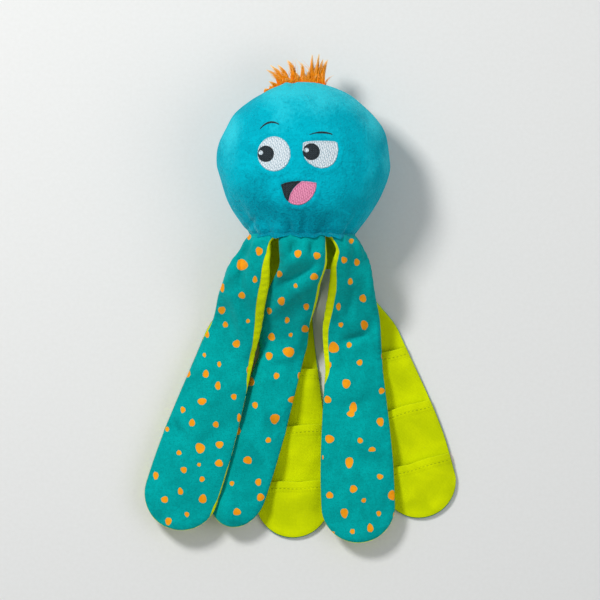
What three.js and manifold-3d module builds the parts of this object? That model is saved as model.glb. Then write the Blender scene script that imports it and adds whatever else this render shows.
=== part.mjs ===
// A plush octopus toy, lying on its back on a table.
// A stuffed head of two sewn panels carries six flat legs, and each leg has three open pockets on its inner face.
// Lengths are in millimetres. +Z is up, out of the face, and +Y points to the top of the head.
// The origin is the point under the middle of the head where it rests on the table.
import * as THREE from "three";
import { mergeVertices } from "three/addons/utils/BufferGeometryUtils.js";
import Module from "manifold-3d";

// Clearances that every piece shares
const gap = 0.3; // between two pieces that touch
const overrun = 5; // how far a cutting body runs past what it cuts

// Head: a ball drawn in towards the neck
const head = {
  halfWidth: 77.4,
  halfThickness: 56,
  crownHeight: 74.5, // from the widest ring to the top
  baseDepth: 86.4, // from the widest ring to the point that the neck cuts off
  widestY: -4.5,
  neckY: -66,
  restFlat: 1.5, // how much the weight flattens the back
  lopside: 1.8, // how far the ball sits to the right of its neck
  panel: 2.4, // plush cloth with its pile
  widthPower: 1.4, // how straight the sides run in to the neck
  thicknessPower: 2.4, // how straight the face runs in to the neck
};
const headMiddleZ = head.halfThickness - head.restFlat;
const neckDisc = { cloth: 2.4 };

// Squeaker inside the stuffing
const squeaker = {
  radius: 21,
  ribRadius: 18.5,
  endRadius: 11,
  height: 30,
  neckRadius: 8,
  neckHeight: 6,
  ribs: 3,
  reedRadius: 5.5,
  reedHeight: 11,
  flangeRadius: 7,
  flange: 1.5,
};

// Embroidery, raised over the face panel
const thread = { relief: 0.9, step: 0.15 };
const leftEye = { x: -25, y: 5.4, radiusX: 14.7, radiusY: 15.6 };
const rightEye = { x: 16.4, y: 4.2, radiusX: 15.8, radiusY: 12.4, squareness: 3.2 };
const leftPupil = { x: -32.1, y: 5.4, radius: 7.5 };
const rightPupil = { x: 8.3, y: 7.2, radius: 7.7 };
const leftGlint = { x: -36.4, y: 6.3, radius: 2.3 };
const rightGlint = { x: 4.1, y: 8.5, radius: 2.3 };
const brow = { thickness: 1.4 };
// Outlines on the face, as pairs across and up from its middle in head half widths
const leftBrowShares = [[-0.4845, 0.3553], [-0.4186, 0.4186], [-0.33721, 0.44186], [-0.26744, 0.41473]];
const rightBrowShares = [[0.10465, 0.29716], [0.20155, 0.32558], [0.26744, 0.32558], [0.33721, 0.30233]];
const mouthLineShares = [
  [-0.24419, -0.28424], [-0.12791, -0.24935], [-0.04651, -0.24289], [0.06977, -0.24935], [0.16796, -0.26486],
  [0.16279, -0.33721], [0.11628, -0.4186], [0.05297, -0.48579], [-0.04651, -0.52067], [-0.12791, -0.50258],
  [-0.17442, -0.47028], [-0.21576, -0.3876],
];
const tongueEdgeShares = [
  [-0.01163, -0.21964], [-0.10982, -0.33721], [-0.16667, -0.45349], [-0.18088, -0.5814],
  [0.2584, -0.5814], [0.2584, -0.21964],
];

// Fur tuft, sewn in behind the top seam
const tuft = {
  left: -34,
  right: 21,
  setBack: 1.2, // how far behind the seam the backing starts
  depth: 13,
  backing: 2,
  locks: 10,
  rows: 2,
  lockRadius: 3.8,
  longest: 26,
  shortest: 16,
  leftLean: 30,
  rightLean: -12,
  sway: 9,
};

// The ring of legs round the neck
const ring = {
  legs: 6,
  halfArc: 28, // half the angle that one leg's seam takes, in degrees
  inset: 0.8,
  flare: 12.5, // how far the legs spread sideways under the seam
  flareUp: 4,
  flareRun: 13, // the stretch over which they spread
};

// One leg, laid flat
const leg = {
  length: 272,
  halfWidth: 33.5,
  topHalfWidth: 22,
  widenFrom: 40,
  widenTo: 225,
  drop: 106, // the stretch in which a leg comes down from the neck
  outer: 1.2,
  lining: 0.6,
  sideWall: 1,
  padAtNeck: 3.6,
  padAtTip: 1.2,
};

// Pockets on a leg's inner face, counted from the neck
const pocket = {
  cloth: 0.6,
  hem: 6.5,
  hemFold: 0.5,
  hemStep: 0.5,
  depth: 50.5,
  gape: 6.2,
  count: 3,
};
const pocketNames = ["upper", "middle", "lower"];
// Shares of a pocket's depth between which it closes from its full gape
const closingShares = [0.14, 0.92];

// Height of a leg with its pockets, and of the outer face of a leg that lies on others
const liningDepth = leg.outer + gap + leg.padAtTip + gap + leg.lining;
const legHeight = liningDepth + pocket.gape + pocket.cloth + pocket.hemFold;
const upperLevel = 2 * legHeight + gap;

// How each leg lies. place counts round the neck from the front, and lean is in degrees
// from the toy's length.
// tipShares say where the leg ends, in leg lengths, and hangShares how far each side margin hangs
// below the leg's middle, in leg half widths.
const legPlaces = [
  {
    name: "front_middle_leg", place: 0, lean: -15.5,
    tipShares: [-0.21875, -1.20956], wideShare: 0.66, hangShares: [0.20896, 0.0597],
  },
  {
    name: "front_right_leg", place: 1, lean: 1.8,
    tipShares: [0.19007, -1.26471], wideShare: 1, hangShares: [0.07463, 0.07463],
  },
  {
    name: "rear_right_leg", place: 2, lean: 15.2,
    tipShares: [0.42022, -1.18015], wideShare: 1, hangShares: [0, 0],
  },
  {
    name: "rear_middle_leg", place: 3, lean: 2,
    tipShares: [-0.02574, -1.25], wideShare: 1, hangShares: [0, 0],
  },
  {
    name: "rear_left_leg", place: 4, lean: -18,
    tipShares: [-0.42647, -1.17647], wideShare: 0.94, hangShares: [0, 0],
  },
  {
    name: "front_left_leg", place: 5, lean: -18,
    tipShares: [-0.4375, -1.21691], wideShare: 1, hangShares: [0.07463, 0.07463],
  },
];

// How much a leg at the back gathers in where it comes down from the neck
const rearPinchShare = 0.14;

// Facets, and where the rows and columns of a leg stand
const facets = { tilt: 14, turn: 32, ellipse: 24, lathe: 18, lock: 6 };
const legRowShares = [0, 0.022, 0.05, 0.09, 0.14, 0.19, 0.24, 0.3, 0.39, 0.55, 0.72];
const tipTurnShares = [0, 0.25, 0.48, 0.68, 0.85];
const acrossShares = [-1, -0.62, 0, 0.62, 1];
const pocketRowShares = [0.32, 0.55, 0.78];
const pocketWidthShare = 0.985;

// Points of a mesh that lie closer than this are one
const weldWithin = 1e-4;

const wasm = await Module();
wasm.setup();

/** A closed geometry as a solid that can be cut and joined, with its faces turned out. */
function solidOf(geometry) {
  const bare = geometry.clone();
  bare.deleteAttribute("normal");
  bare.deleteAttribute("uv");
  const merged = mergeVertices(bare, weldWithin);
  const build = (triVerts) =>
    new wasm.Manifold(
      new wasm.Mesh({ numProp: 3, vertProperties: merged.attributes.position.array, triVerts }),
    );
  const faces = new Uint32Array(merged.index.array);
  const made = build(faces);
  return made.volume() < 0 ? build(faces.reverse()) : made;
}

/** A solid's triangles as a geometry. */
function geometryOf(solid) {
  const { vertProperties, triVerts } = solid.getMesh();
  const geometry = new THREE.BufferGeometry();
  geometry.setAttribute("position", new THREE.BufferAttribute(vertProperties, 3));
  geometry.setIndex(new THREE.BufferAttribute(triVerts, 1));
  const flat = geometry.toNonIndexed();
  flat.computeVertexNormals();
  return flat;
}

/** A block between two corners, for cutting. */
function block(low, high) {
  const size = high.clone().sub(low);
  const middle = low.clone().add(high).multiplyScalar(1 / 2);
  return solidOf(new THREE.BoxGeometry(size.x, size.y, size.z).translate(middle.x, middle.y, middle.z));
}

/** Triangles from a list of points and a list of faces. */
function pointsAndFaces(points, faces) {
  const geometry = new THREE.BufferGeometry().setFromPoints(points);
  geometry.setIndex(faces);
  return geometry;
}

/** A closed body between two grids of points that have the same rows and columns. */
function bodyBetween(over, under) {
  const rows = over.length;
  const columns = over[0].length;
  const points = [...over.flat(), ...under.flat()];
  const faces = [];
  const upper = (i, j) => i * columns + j;
  const lower = (i, j) => rows * columns + upper(i, j);
  const quad = (a, b, c, d) => faces.push(a, b, c, a, c, d);
  for (let i = 0; i + 1 < rows; i++) {
    for (let j = 0; j + 1 < columns; j++) {
      quad(upper(i, j), upper(i + 1, j), upper(i + 1, j + 1), upper(i, j + 1));
      quad(lower(i, j), lower(i, j + 1), lower(i + 1, j + 1), lower(i + 1, j));
    }
    quad(upper(i, 0), lower(i, 0), lower(i + 1, 0), upper(i + 1, 0));
    quad(upper(i + 1, columns - 1), lower(i + 1, columns - 1), lower(i, columns - 1), upper(i, columns - 1));
  }
  for (let j = 0; j + 1 < columns; j++) {
    quad(upper(0, j + 1), lower(0, j + 1), lower(0, j), upper(0, j));
    quad(upper(rows - 1, j), lower(rows - 1, j), lower(rows - 1, j + 1), upper(rows - 1, j + 1));
  }
  return solidOf(pointsAndFaces(points, faces));
}

/** A closed body through rings of points, with a fan over each end ring. */
function bodyThroughRings(rings) {
  const count = rings[0].length;
  const points = rings.flat();
  const faces = [];
  const at = (i, j) => i * count + (j % count);
  for (let i = 0; i + 1 < rings.length; i++)
    for (let j = 0; j < count; j++) {
      faces.push(at(i, j), at(i + 1, j), at(i + 1, j + 1));
      faces.push(at(i, j), at(i + 1, j + 1), at(i, j + 1));
    }
  const middleOf = (loop) =>
    loop.reduce((sum, point) => sum.add(point), new THREE.Vector3()).multiplyScalar(1 / count);
  const first = points.push(middleOf(rings[0])) - 1;
  const last = points.push(middleOf(rings[rings.length - 1])) - 1;
  for (let j = 0; j < count; j++) {
    faces.push(first, at(0, j), at(0, j + 1));
    faces.push(last, at(rings.length - 1, j + 1), at(rings.length - 1, j));
  }
  return solidOf(pointsAndFaces(points, faces));
}

const radians = THREE.MathUtils.degToRad;
const mix = THREE.MathUtils.lerp;
const easeShare = (value) => THREE.MathUtils.smoothstep(value, 0, 1);

/** The head's half width and half thickness at a tilt from the top, and the place along Y. */
function headSection(tilt) {
  const along = Math.cos(tilt);
  if (along >= 0)
    return {
      y: head.widestY + head.crownHeight * along,
      halfWidth: head.halfWidth * Math.sin(tilt),
      halfThickness: head.halfThickness * Math.sin(tilt),
    };
  return {
    y: head.widestY + head.baseDepth * along,
    halfWidth: head.halfWidth * Math.sqrt(1 - (-along) ** head.widthPower),
    halfThickness: head.halfThickness * Math.sqrt(1 - (-along) ** head.thicknessPower),
  };
}

/** A point of the head's surface. turn goes round the head from the face, and offset is along the normal. */
function headPoint(tilt, turn, offset) {
  const place = (a, b) => {
    const section = headSection(a);
    const aside = head.lopside * easeShare((section.y - head.neckY) / (head.widestY - head.neckY));
    return new THREE.Vector3(
      aside + section.halfWidth * Math.sin(b),
      section.y,
      headMiddleZ + section.halfThickness * Math.cos(b),
    );
  };
  const step = 1e-4;
  const nearTilt = Math.max(tilt, step);
  const alongTilt = place(nearTilt + step, turn).sub(place(nearTilt, turn));
  const alongTurn = place(nearTilt, turn + step).sub(place(nearTilt, turn));
  const normal = alongTilt.cross(alongTurn).normalize();
  return place(nearTilt, turn).addScaledVector(normal, offset);
}

/** The tilt at which the head's section lies at a place below its widest ring. */
const tiltAt = (y) => Math.acos((y - head.widestY) / head.baseDepth);

/** The head as a solid body, grown or shrunk by an offset and running on past the neck. */
function headBody(offset) {
  const rings = [];
  const lastTilt = tiltAt(head.neckY - overrun);
  for (let i = 0; i <= facets.tilt; i++) {
    const tilt = (Math.max(i, 1 / facets.turn) / facets.tilt) * lastTilt;
    const loop = [];
    for (let j = 0; j < facets.turn; j++)
      loop.push(headPoint(tilt, (j / facets.turn) * 2 * Math.PI, offset));
    rings.push(loop);
  }
  return bodyThroughRings(rings);
}

const reach = head.halfWidth + head.crownHeight + head.baseDepth;

/** A block that holds everything on one side of a plane across an axis. */
function sideOf(axis, from, positive) {
  const low = new THREE.Vector3(-reach, -reach, -reach);
  const high = new THREE.Vector3(reach, reach, reach);
  if (positive) low[axis] = from;
  else high[axis] = from;
  return block(low, high);
}

/** Front and back halves of a body, parted at the head's side seam. */
function halves(body) {
  return {
    front: body.intersect(sideOf("z", headMiddleZ + gap / 2, true)),
    back: body.intersect(sideOf("z", headMiddleZ - gap / 2, false)),
  };
}

/** The two sewn head panels, open at the neck. */
function headPanels() {
  const shell = headBody(0).subtract(headBody(-head.panel)).intersect(sideOf("y", head.neckY, true));
  const { front, back } = halves(shell);
  return { front, back: back.intersect(sideOf("z", 0, true)) };
}

/** The round cloth that closes the neck between the tops of the legs. */
function neckBase() {
  return headBody(-head.panel - gap)
    .intersect(sideOf("y", head.neckY, true))
    .intersect(sideOf("y", head.neckY + neckDisc.cloth, false));
}

/** The two halves of the stuffing, with a recess for the squeaker. */
function stuffingHalves() {
  const filling = headBody(-head.panel - gap)
    .intersect(sideOf("y", head.neckY + neckDisc.cloth + gap, true))
    .intersect(sideOf("z", head.panel + gap, true))
    .subtract(squeakerBulb(gap))
    .subtract(squeakerReed(gap));
  return halves(filling);
}

/** A lathe body laid along the toy's length, with its profile's height running down to the neck. */
function latheInHead(points) {
  const body = new THREE.LatheGeometry(points, facets.lathe).rotateX(Math.PI);
  return solidOf(body.translate(0, head.widestY, headMiddleZ));
}

/** The squeaker's bellows with its short neck, grown by a clearance. */
function squeakerBulb(clearance) {
  const half = squeaker.height / 2 + clearance;
  const points = [new THREE.Vector2(0, -half), new THREE.Vector2(squeaker.endRadius + clearance, -half)];
  const steps = 2 * squeaker.ribs;
  for (let i = 1; i < steps; i++) {
    const radius = i % 2 ? squeaker.radius : squeaker.ribRadius;
    points.push(new THREE.Vector2(radius + clearance, mix(-half, half, i / steps)));
  }
  points.push(new THREE.Vector2(squeaker.endRadius + clearance, half));
  points.push(new THREE.Vector2(squeaker.neckRadius + clearance, half));
  points.push(new THREE.Vector2(squeaker.neckRadius + clearance, half + squeaker.neckHeight));
  points.push(new THREE.Vector2(0, half + squeaker.neckHeight));
  return latheInHead(points);
}

/** The reed, a plug with a flange that sits in the squeaker's neck, grown by a clearance. */
function squeakerReed(clearance) {
  const seat = squeaker.height / 2 + squeaker.neckHeight + gap;
  const points = [
    new THREE.Vector2(0, seat + squeaker.flange + clearance),
    new THREE.Vector2(squeaker.flangeRadius + clearance, seat + squeaker.flange + clearance),
    new THREE.Vector2(squeaker.flangeRadius + clearance, seat - clearance),
    new THREE.Vector2(squeaker.reedRadius + clearance, seat - clearance),
    new THREE.Vector2(squeaker.reedRadius + clearance, seat - squeaker.reedHeight - clearance),
    new THREE.Vector2(0, seat - squeaker.reedHeight - clearance),
  ];
  return latheInHead(points.reverse());
}

/** An upright prism over an outline, tall enough to pass through the face. */
function prism(outline) {
  const shape = new THREE.Shape(outline);
  const body = new THREE.ExtrudeGeometry(shape, { depth: reach, bevelEnabled: false });
  return solidOf(body.translate(0, 0, headMiddleZ));
}

/** Points round an ellipse, or round a squarer form where the squareness is over two. */
function roundOutline({ x, y, radius, radiusX = radius, radiusY = radius, squareness = 2 }, growth) {
  const bend = (value) => Math.sign(value) * Math.abs(value) ** (2 / squareness);
  const outline = [];
  for (let i = 0; i < facets.ellipse; i++) {
    const turn = (i / facets.ellipse) * 2 * Math.PI;
    const across = x + (radiusX + growth) * bend(Math.cos(turn));
    outline.push(new THREE.Vector2(across, y + (radiusY + growth) * bend(Math.sin(turn))));
  }
  return outline;
}

/** Points of a line or outline given as pairs of shares of the head's half width. */
const drawn = (pairs) => pairs.map(([x, y]) => new THREE.Vector2(x, y).multiplyScalar(head.halfWidth));

/** The outline of a band of even thickness along a line of pairs. */
function bandOutline(pairs, thickness) {
  const line = new THREE.SplineCurve(drawn(pairs)).getPoints(2 * pairs.length);
  const over = [];
  const under = [];
  line.forEach((point, i) => {
    const next = line[Math.min(i + 1, line.length - 1)];
    const last = line[Math.max(i - 1, 0)];
    const side = next.clone().sub(last).normalize().rotateAround(new THREE.Vector2(0, 0), Math.PI / 2);
    over.push(point.clone().addScaledVector(side, thickness / 2));
    under.push(point.clone().addScaledVector(side, -thickness / 2));
  });
  return [...under, ...over.reverse()];
}

/** A layer of stitching over the face, cut to an outline. */
function stitched(outline, relief) {
  return headBody(gap + relief).subtract(headBody(gap)).intersect(prism(outline));
}

/** An eye in three inlaid colours of thread. */
function eyeParts(white, pupil, glint) {
  return {
    white: stitched(roundOutline(white, 0), thread.relief).subtract(prism(roundOutline(pupil, gap))),
    pupil: stitched(roundOutline(pupil, 0), thread.relief + thread.step)
      .subtract(prism(roundOutline(glint, gap))),
    glint: stitched(roundOutline(glint, 0), thread.relief + 2 * thread.step),
  };
}

/** The mouth's dark part and its tongue, inlaid side by side. */
function mouthParts() {
  const whole = stitched(drawn(mouthLineShares), thread.relief);
  const tonguePrism = prism(drawn(tongueEdgeShares));
  const wider = prism(drawn(tongueEdgeShares).map((point) => point.add(new THREE.Vector2(-gap, gap))));
  return { dark: whole.subtract(wider.add(tonguePrism)), tongue: whole.intersect(tonguePrism) };
}

/** One tapered lock of fur from a root along a direction. */
function lockBody(root, direction, length) {
  const shape = new THREE.ConeGeometry(tuft.lockRadius, length, facets.lock);
  shape.translate(0, length / 2, 0);
  const up = new THREE.Vector3(0, 1, 0);
  shape.applyQuaternion(new THREE.Quaternion().setFromUnitVectors(up, direction.clone().normalize()));
  return solidOf(shape.translate(root.x, root.y, root.z));
}

/** The fur tuft: a backing strip over the back panel with rows of locks grown into it. */
function tuftBody() {
  const top = headMiddleZ - tuft.setBack;
  const strip = headBody(gap + tuft.backing).intersect(
    block(new THREE.Vector3(tuft.left, 0, top - tuft.depth), new THREE.Vector3(tuft.right, reach, top)),
  );
  let body = strip;
  for (let row = 0; row < tuft.rows; row++)
    for (let i = 0; i < tuft.locks; i++) {
      const share = (i + 1 / 2) / tuft.locks;
      const x = mix(tuft.left + tuft.lockRadius, tuft.right - tuft.lockRadius, share);
      const z = top - tuft.depth * ((row + 1 / 2) / tuft.rows);
      const y = head.widestY + head.crownHeight * Math.sqrt(1 - (x / head.halfWidth) ** 2
        - ((z - headMiddleZ) / head.halfThickness) ** 2);
      const sway = tuft.sway * Math.sin(7 * i + 3 * row);
      const lean = radians(mix(tuft.leftLean, tuft.rightLean, share) + sway);
      const length = mix(tuft.shortest, tuft.longest, easeShare(2 * share)) * (1 - (i % 3) / 9);
      const direction = new THREE.Vector3(-Math.sin(lean), Math.cos(lean), -row / 4);
      body = body.add(lockBody(new THREE.Vector3(x, y, z), direction, length));
    }
  return body.subtract(headBody(gap));
}

/** Half the width of a leg's pattern at a distance from the neck. */
function halfWidthAt(s) {
  const round = s - (leg.length - leg.halfWidth);
  if (round > 0) return Math.sqrt(Math.max(0, leg.halfWidth ** 2 - round ** 2));
  return mix(leg.topHalfWidth, leg.halfWidth, THREE.MathUtils.smoothstep(s, leg.widenFrom, leg.widenTo));
}

/** Depth of the lining's free face below a leg's outer face. */
function depthAt(s) {
  const pad = mix(leg.padAtNeck, leg.padAtTip, easeShare(s / leg.drop));
  return liningDepth - leg.padAtTip + pad;
}

/** A point on a leg's outer face, at a distance from the neck and a share across. */
function legPoint(lie, s, across) {
  const turn = (lie.place / ring.legs) * 2 * Math.PI;
  const front = Math.cos(turn) > 0;
  const neck = headSection(tiltAt(head.neckY));
  const pinched = front ? across : across * (1 - rearPinchShare * Math.sin(easeShare(s / leg.drop) * Math.PI));
  const spreadShare = 1 - Math.exp(-Math.max(0, s) / ring.flareRun);
  const radiusX = neck.halfWidth - ring.inset + ring.flare * spreadShare;
  const radiusZ = neck.halfThickness - ring.inset + ring.flareUp * spreadShare;
  const narrowShare = (neck.halfWidth - ring.inset) / radiusX;
  const angle = turn + pinched * radians(ring.halfArc) * narrowShare;
  const atNeck = new THREE.Vector3(
    radiusX * Math.sin(angle),
    head.neckY - gap - s,
    headMiddleZ + radiusZ * Math.cos(angle),
  );
  const share = pinched * (front ? 1 : -1);
  const lean = radians(lie.lean);
  const fullShare = mix(1, lie.wideShare, easeShare(s / leg.drop));
  const sideways = halfWidthAt(s) * fullShare * share;
  const hang = lie.hangShares[share < 0 ? 0 : 1] * leg.halfWidth * share ** 2;
  const level = front ? upperLevel - hang : 0;
  const back = leg.length - s;
  const laid = new THREE.Vector3(
    lie.tipShares[0] * leg.length - Math.sin(lean) * back + Math.cos(lean) * sideways,
    lie.tipShares[1] * leg.length + Math.cos(lean) * back + Math.sin(lean) * sideways,
    level,
  );
  return atNeck.lerp(laid, easeShare(s / leg.drop));
}

/** A point inside a leg, at a depth below its outer face. */
function insideLeg(lie, s, across, depth) {
  const step = 1 / 1000;
  const along = legPoint(lie, s + leg.length * step, across).sub(legPoint(lie, s - leg.length * step, across));
  const sideways = legPoint(lie, s, across + step).sub(legPoint(lie, s, across - step));
  const outward = along.cross(sideways).normalize();
  return legPoint(lie, s, across).addScaledVector(outward, -depth);
}

/** The distances from the neck at which a leg has its rows. */
function legRows() {
  const straight = legRowShares.map((share) => share * leg.length);
  const tipStart = leg.length - leg.halfWidth;
  const round = tipTurnShares.map((share) => tipStart + leg.halfWidth * Math.sin((share * Math.PI) / 2));
  return [...straight, ...round];
}

/** A layer of a leg between two depths that are functions of the place. */
function layer(lie, rows, columns, from, to) {
  const sheet = (depth) => rows.map((s) => columns.map((u) => insideLeg(lie, s, u, depth(s, u))));
  return bodyBetween(sheet(from), sheet(to));
}

/** The columns of a leg's inside, drawn in by a margin on both sides. */
function insideShares(margin) {
  const innerShare = 1 - margin / leg.topHalfWidth;
  return acrossShares.map((share) => Math.max(-innerShare, Math.min(innerShare, share)));
}

/** Outer cloth, lining tray and wadding of one leg. */
function legLayers(lie) {
  const rows = legRows();
  const innerRows = [-overrun, ...rows.slice(0, -1)];
  const top = leg.outer + gap;
  const outer = layer(lie, rows, acrossShares, () => 0, () => leg.outer);
  const whole = layer(lie, rows, acrossShares, () => top, (s) => depthAt(s));
  const hollow = layer(
    lie, innerRows, insideShares(leg.sideWall), () => top - gap / 2, (s) => depthAt(s) - leg.lining,
  );
  const padRows = rows.slice(0, -2);
  const wadding = layer(
    lie, padRows, insideShares(leg.sideWall + 2 * gap), () => top + gap, (s) => depthAt(s) - leg.lining - gap,
  );
  return { outer, lining: whole.subtract(hollow), wadding };
}

/** One pocket panel, sewn down at its sides and its far end and gaping at its mouth. */
function pocketPanel(lie, index) {
  const mouth = leg.length - pocket.depth * (pocket.count - index);
  const isLast = index === pocket.count - 1;
  const rows = legRows();
  const end = isLast ? rows[rows.length - 1] : mouth + pocket.depth - gap;
  const hemEnd = mouth + pocket.hem;
  const between = pocketRowShares.map((share) => mix(mouth, end, share));
  const tipRows = rows.filter((s) => s > leg.length - leg.halfWidth && s < end);
  const inner = isLast ? [between[0], ...tipRows] : between;
  const allRows = [mouth, hemEnd, hemEnd + pocket.hemStep, ...inner, end];
  const lift = (s, u) => {
    const closing = 1 - THREE.MathUtils.smoothstep((s - mouth) / (end - mouth), ...closingShares);
    return gap + (pocket.gape - gap) * (1 - u ** 4) * closing;
  };
  const fold = (s) => (s <= hemEnd ? pocket.hemFold : 0);
  return layer(
    lie,
    allRows,
    acrossShares.map((share) => share * pocketWidthShare),
    (s, u) => liningDepth + lift(s, u / pocketWidthShare),
    (s, u) => liningDepth + lift(s, u / pocketWidthShare) + pocket.cloth + fold(s),
  );
}

/** A cloth or plastic look. */
function material(colour, roughness) {
  return new THREE.MeshStandardMaterial({ color: colour, roughness, metalness: 0 });
}

const looks = {
  plush: material(0x00b4c8, 0.95),
  legPlush: material(0x00a5a5, 0.95),
  lime: material(0xc8d700, 0.85),
  fibre: material(0xf2f0ea, 0.9),
  batting: material(0xeceae4, 0.9),
  squeakerPlastic: material(0xf4f4f0, 0.5),
  reedPlastic: material(0xd9a441, 0.45),
  fur: material(0xf08a2a, 0.9),
  paleThread: material(0xe1ebf0, 0.7),
  darkThread: material(0x19232b, 0.65),
  pinkThread: material(0xe67da5, 0.7),
};

/** A group whose own origin stands at a place in the toy. */
function groupAt(name, place) {
  const group = new THREE.Group();
  group.name = name;
  group.position.copy(place);
  return group;
}

/** Puts a body into a group as a named mesh of its own material. */
function addTo(group, name, body, look) {
  const geometry = geometryOf(body).translate(-group.position.x, -group.position.y, -group.position.z);
  const mesh = new THREE.Mesh(geometry, look.clone());
  mesh.name = name;
  group.add(mesh);
}

/** Cloth, stuffing, squeaker and tuft of the head. */
function headGroup() {
  const group = groupAt("head", new THREE.Vector3(0, head.widestY, headMiddleZ));
  const panels = headPanels();
  const stuffing = stuffingHalves();
  addTo(group, "head_front_panel", panels.front, looks.plush);
  addTo(group, "head_back_panel", panels.back, looks.plush);
  addTo(group, "neck_disc", neckBase(), looks.plush);
  addTo(group, "stuffing_front", stuffing.front, looks.fibre);
  addTo(group, "stuffing_back", stuffing.back, looks.fibre);
  addTo(group, "squeaker_bulb", squeakerBulb(0).subtract(squeakerReed(gap)), looks.squeakerPlastic);
  addTo(group, "squeaker_reed", squeakerReed(0), looks.reedPlastic);
  addTo(group, "hair_tuft", tuftBody(), looks.fur);
  group.add(faceGroup());
  return group;
}

/** Embroidered eyes, brows and mouth, placed from the middle of the head. */
function faceGroup() {
  const group = groupAt("face", new THREE.Vector3());
  const back = new THREE.Vector3(0, -head.widestY, -headMiddleZ);
  const put = (name, body, look) => addTo(group, name, body.translate([back.x, back.y, back.z]), look);
  const eyes = {
    left: eyeParts(leftEye, leftPupil, leftGlint),
    right: eyeParts(rightEye, rightPupil, rightGlint),
  };
  for (const [side, eye] of Object.entries(eyes)) {
    put(`${side}_eye_white`, eye.white, looks.paleThread);
    put(`${side}_pupil`, eye.pupil, looks.darkThread);
    put(`${side}_eye_glint`, eye.glint, looks.paleThread);
  }
  put("left_brow", stitched(bandOutline(leftBrowShares, brow.thickness), thread.relief), looks.darkThread);
  put("right_brow", stitched(bandOutline(rightBrowShares, brow.thickness), thread.relief), looks.darkThread);
  const mouth = mouthParts();
  put("mouth", mouth.dark, looks.darkThread);
  put("tongue", mouth.tongue, looks.pinkThread);
  return group;
}

/** One leg in a group that stands at the seam it swings on. */
function legGroup(lie) {
  const group = groupAt(lie.name, legPoint(lie, 0, 0));
  const layers = legLayers(lie);
  addTo(group, `${lie.name}_outer`, layers.outer, looks.legPlush);
  addTo(group, `${lie.name}_wadding`, layers.wadding, looks.batting);
  addTo(group, `${lie.name}_lining`, layers.lining, looks.lime);
  pocketNames.forEach((name, index) =>
    addTo(group, `${lie.name}_pocket_${name}`, pocketPanel(lie, index), looks.lime));
  return group;
}

const octopus = new THREE.Group();
octopus.name = "plush_octopus";
octopus.add(headGroup(), ...legPlaces.map(legGroup));

export default octopus;
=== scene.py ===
"""Dresses a plush octopus toy that lies on its back, with three open pockets in each of its six legs.

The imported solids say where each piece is. The pattern sizes in the classes are millimetres, as a
maker would note them, and every mesh is written in metres. +Z points out of the face, +Y to the
crown, and the origin is under the head where it rests.
"""

from __future__ import annotations

import logging
import math
from dataclasses import dataclass
from enum import Enum
from typing import Any, Callable, ClassVar, Sequence

import bpy
import numpy as np
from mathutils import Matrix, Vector
from mathutils.bvhtree import BVHTree

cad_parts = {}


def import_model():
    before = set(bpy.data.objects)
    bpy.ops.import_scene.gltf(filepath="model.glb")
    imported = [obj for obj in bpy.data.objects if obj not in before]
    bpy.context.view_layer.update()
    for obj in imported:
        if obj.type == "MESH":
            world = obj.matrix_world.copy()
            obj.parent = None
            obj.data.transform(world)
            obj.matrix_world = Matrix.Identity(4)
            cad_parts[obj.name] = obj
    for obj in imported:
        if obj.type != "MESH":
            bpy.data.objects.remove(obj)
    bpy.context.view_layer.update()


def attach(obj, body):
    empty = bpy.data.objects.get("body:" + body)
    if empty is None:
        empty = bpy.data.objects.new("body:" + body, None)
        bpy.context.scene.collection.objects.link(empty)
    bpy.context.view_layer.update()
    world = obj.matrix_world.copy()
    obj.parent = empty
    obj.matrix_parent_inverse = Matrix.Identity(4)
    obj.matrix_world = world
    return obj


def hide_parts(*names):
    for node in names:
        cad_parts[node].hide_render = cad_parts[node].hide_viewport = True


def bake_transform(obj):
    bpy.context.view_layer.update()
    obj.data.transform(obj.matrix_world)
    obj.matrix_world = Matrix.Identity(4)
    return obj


MM = 0.001
# How the cloth runs from the neck to the table: how far it flares aside and up, within what run, and
# the length over which it drops.
FLARE, FLARE_UP, FLARE_RUN, DROP = 12.5, 4.0, 13.0, 106.0
LOG = logging.getLogger("plush_octopus")

Pair = tuple[float, float]
Colour = tuple[float, float, float]
Array = np.ndarray
Socket, Node, Piece = bpy.types.NodeSocket, bpy.types.Node, bpy.types.Object


# ---------------------------------------------------------------------------------------------
# Sums that several pieces share
# ---------------------------------------------------------------------------------------------


def ease(share: Array | float) -> Array:
    """Turns a share from 0 to 1 into one that starts and ends softly."""
    held = np.clip(share, 0.0, 1.0)
    return held * held * (3.0 - 2.0 * held)


def rise(value: Array | float, low: float, high: float) -> Array:
    """Gives how far a value has softly risen from low to high, from 0 to 1."""
    return ease((np.asarray(value, float) - low) / (high - low))


def mix(first: Any, second: Any, share: Any) -> Any:
    """Blends two values by a share."""
    return first + (second - first) * share


def bell(value: Array, width: float) -> Array:
    """Gives one at zero, falling off softly over a width to both sides."""
    return np.exp(-((value / width) ** 2))


def joined(*parts: Array) -> Array:
    """Puts the parts of points side by side, one row to a point."""
    return np.stack(parts, axis=-1)


def share_of(place: Any) -> Any:
    """Turns a place from -1 to 1 into a share from 0 to 1."""
    return (place + 1.0) / 2.0


def unit(vectors: Array) -> Array:
    """Scales each row to length one."""
    return vectors / np.maximum(np.linalg.norm(vectors, axis=-1, keepdims=True), 1e-12)


def from_screen(red: float, green: float, blue: float) -> tuple[float, float, float, float]:
    """Turns a screen colour of 0 to 255 into the linear one that a shader takes.

    Args:
        red: Red, 0 to 255.
        green: Green, 0 to 255.
        blue: Blue, 0 to 255.

    Returns:
        The linear colour with full alpha.
    """
    parts = []
    for part in (red / 255.0, green / 255.0, blue / 255.0):
        parts.append(part / 12.92 if part <= 0.04045 else ((part + 0.055) / 1.055) ** 2.4)
    return parts[0], parts[1], parts[2], 1.0


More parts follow.
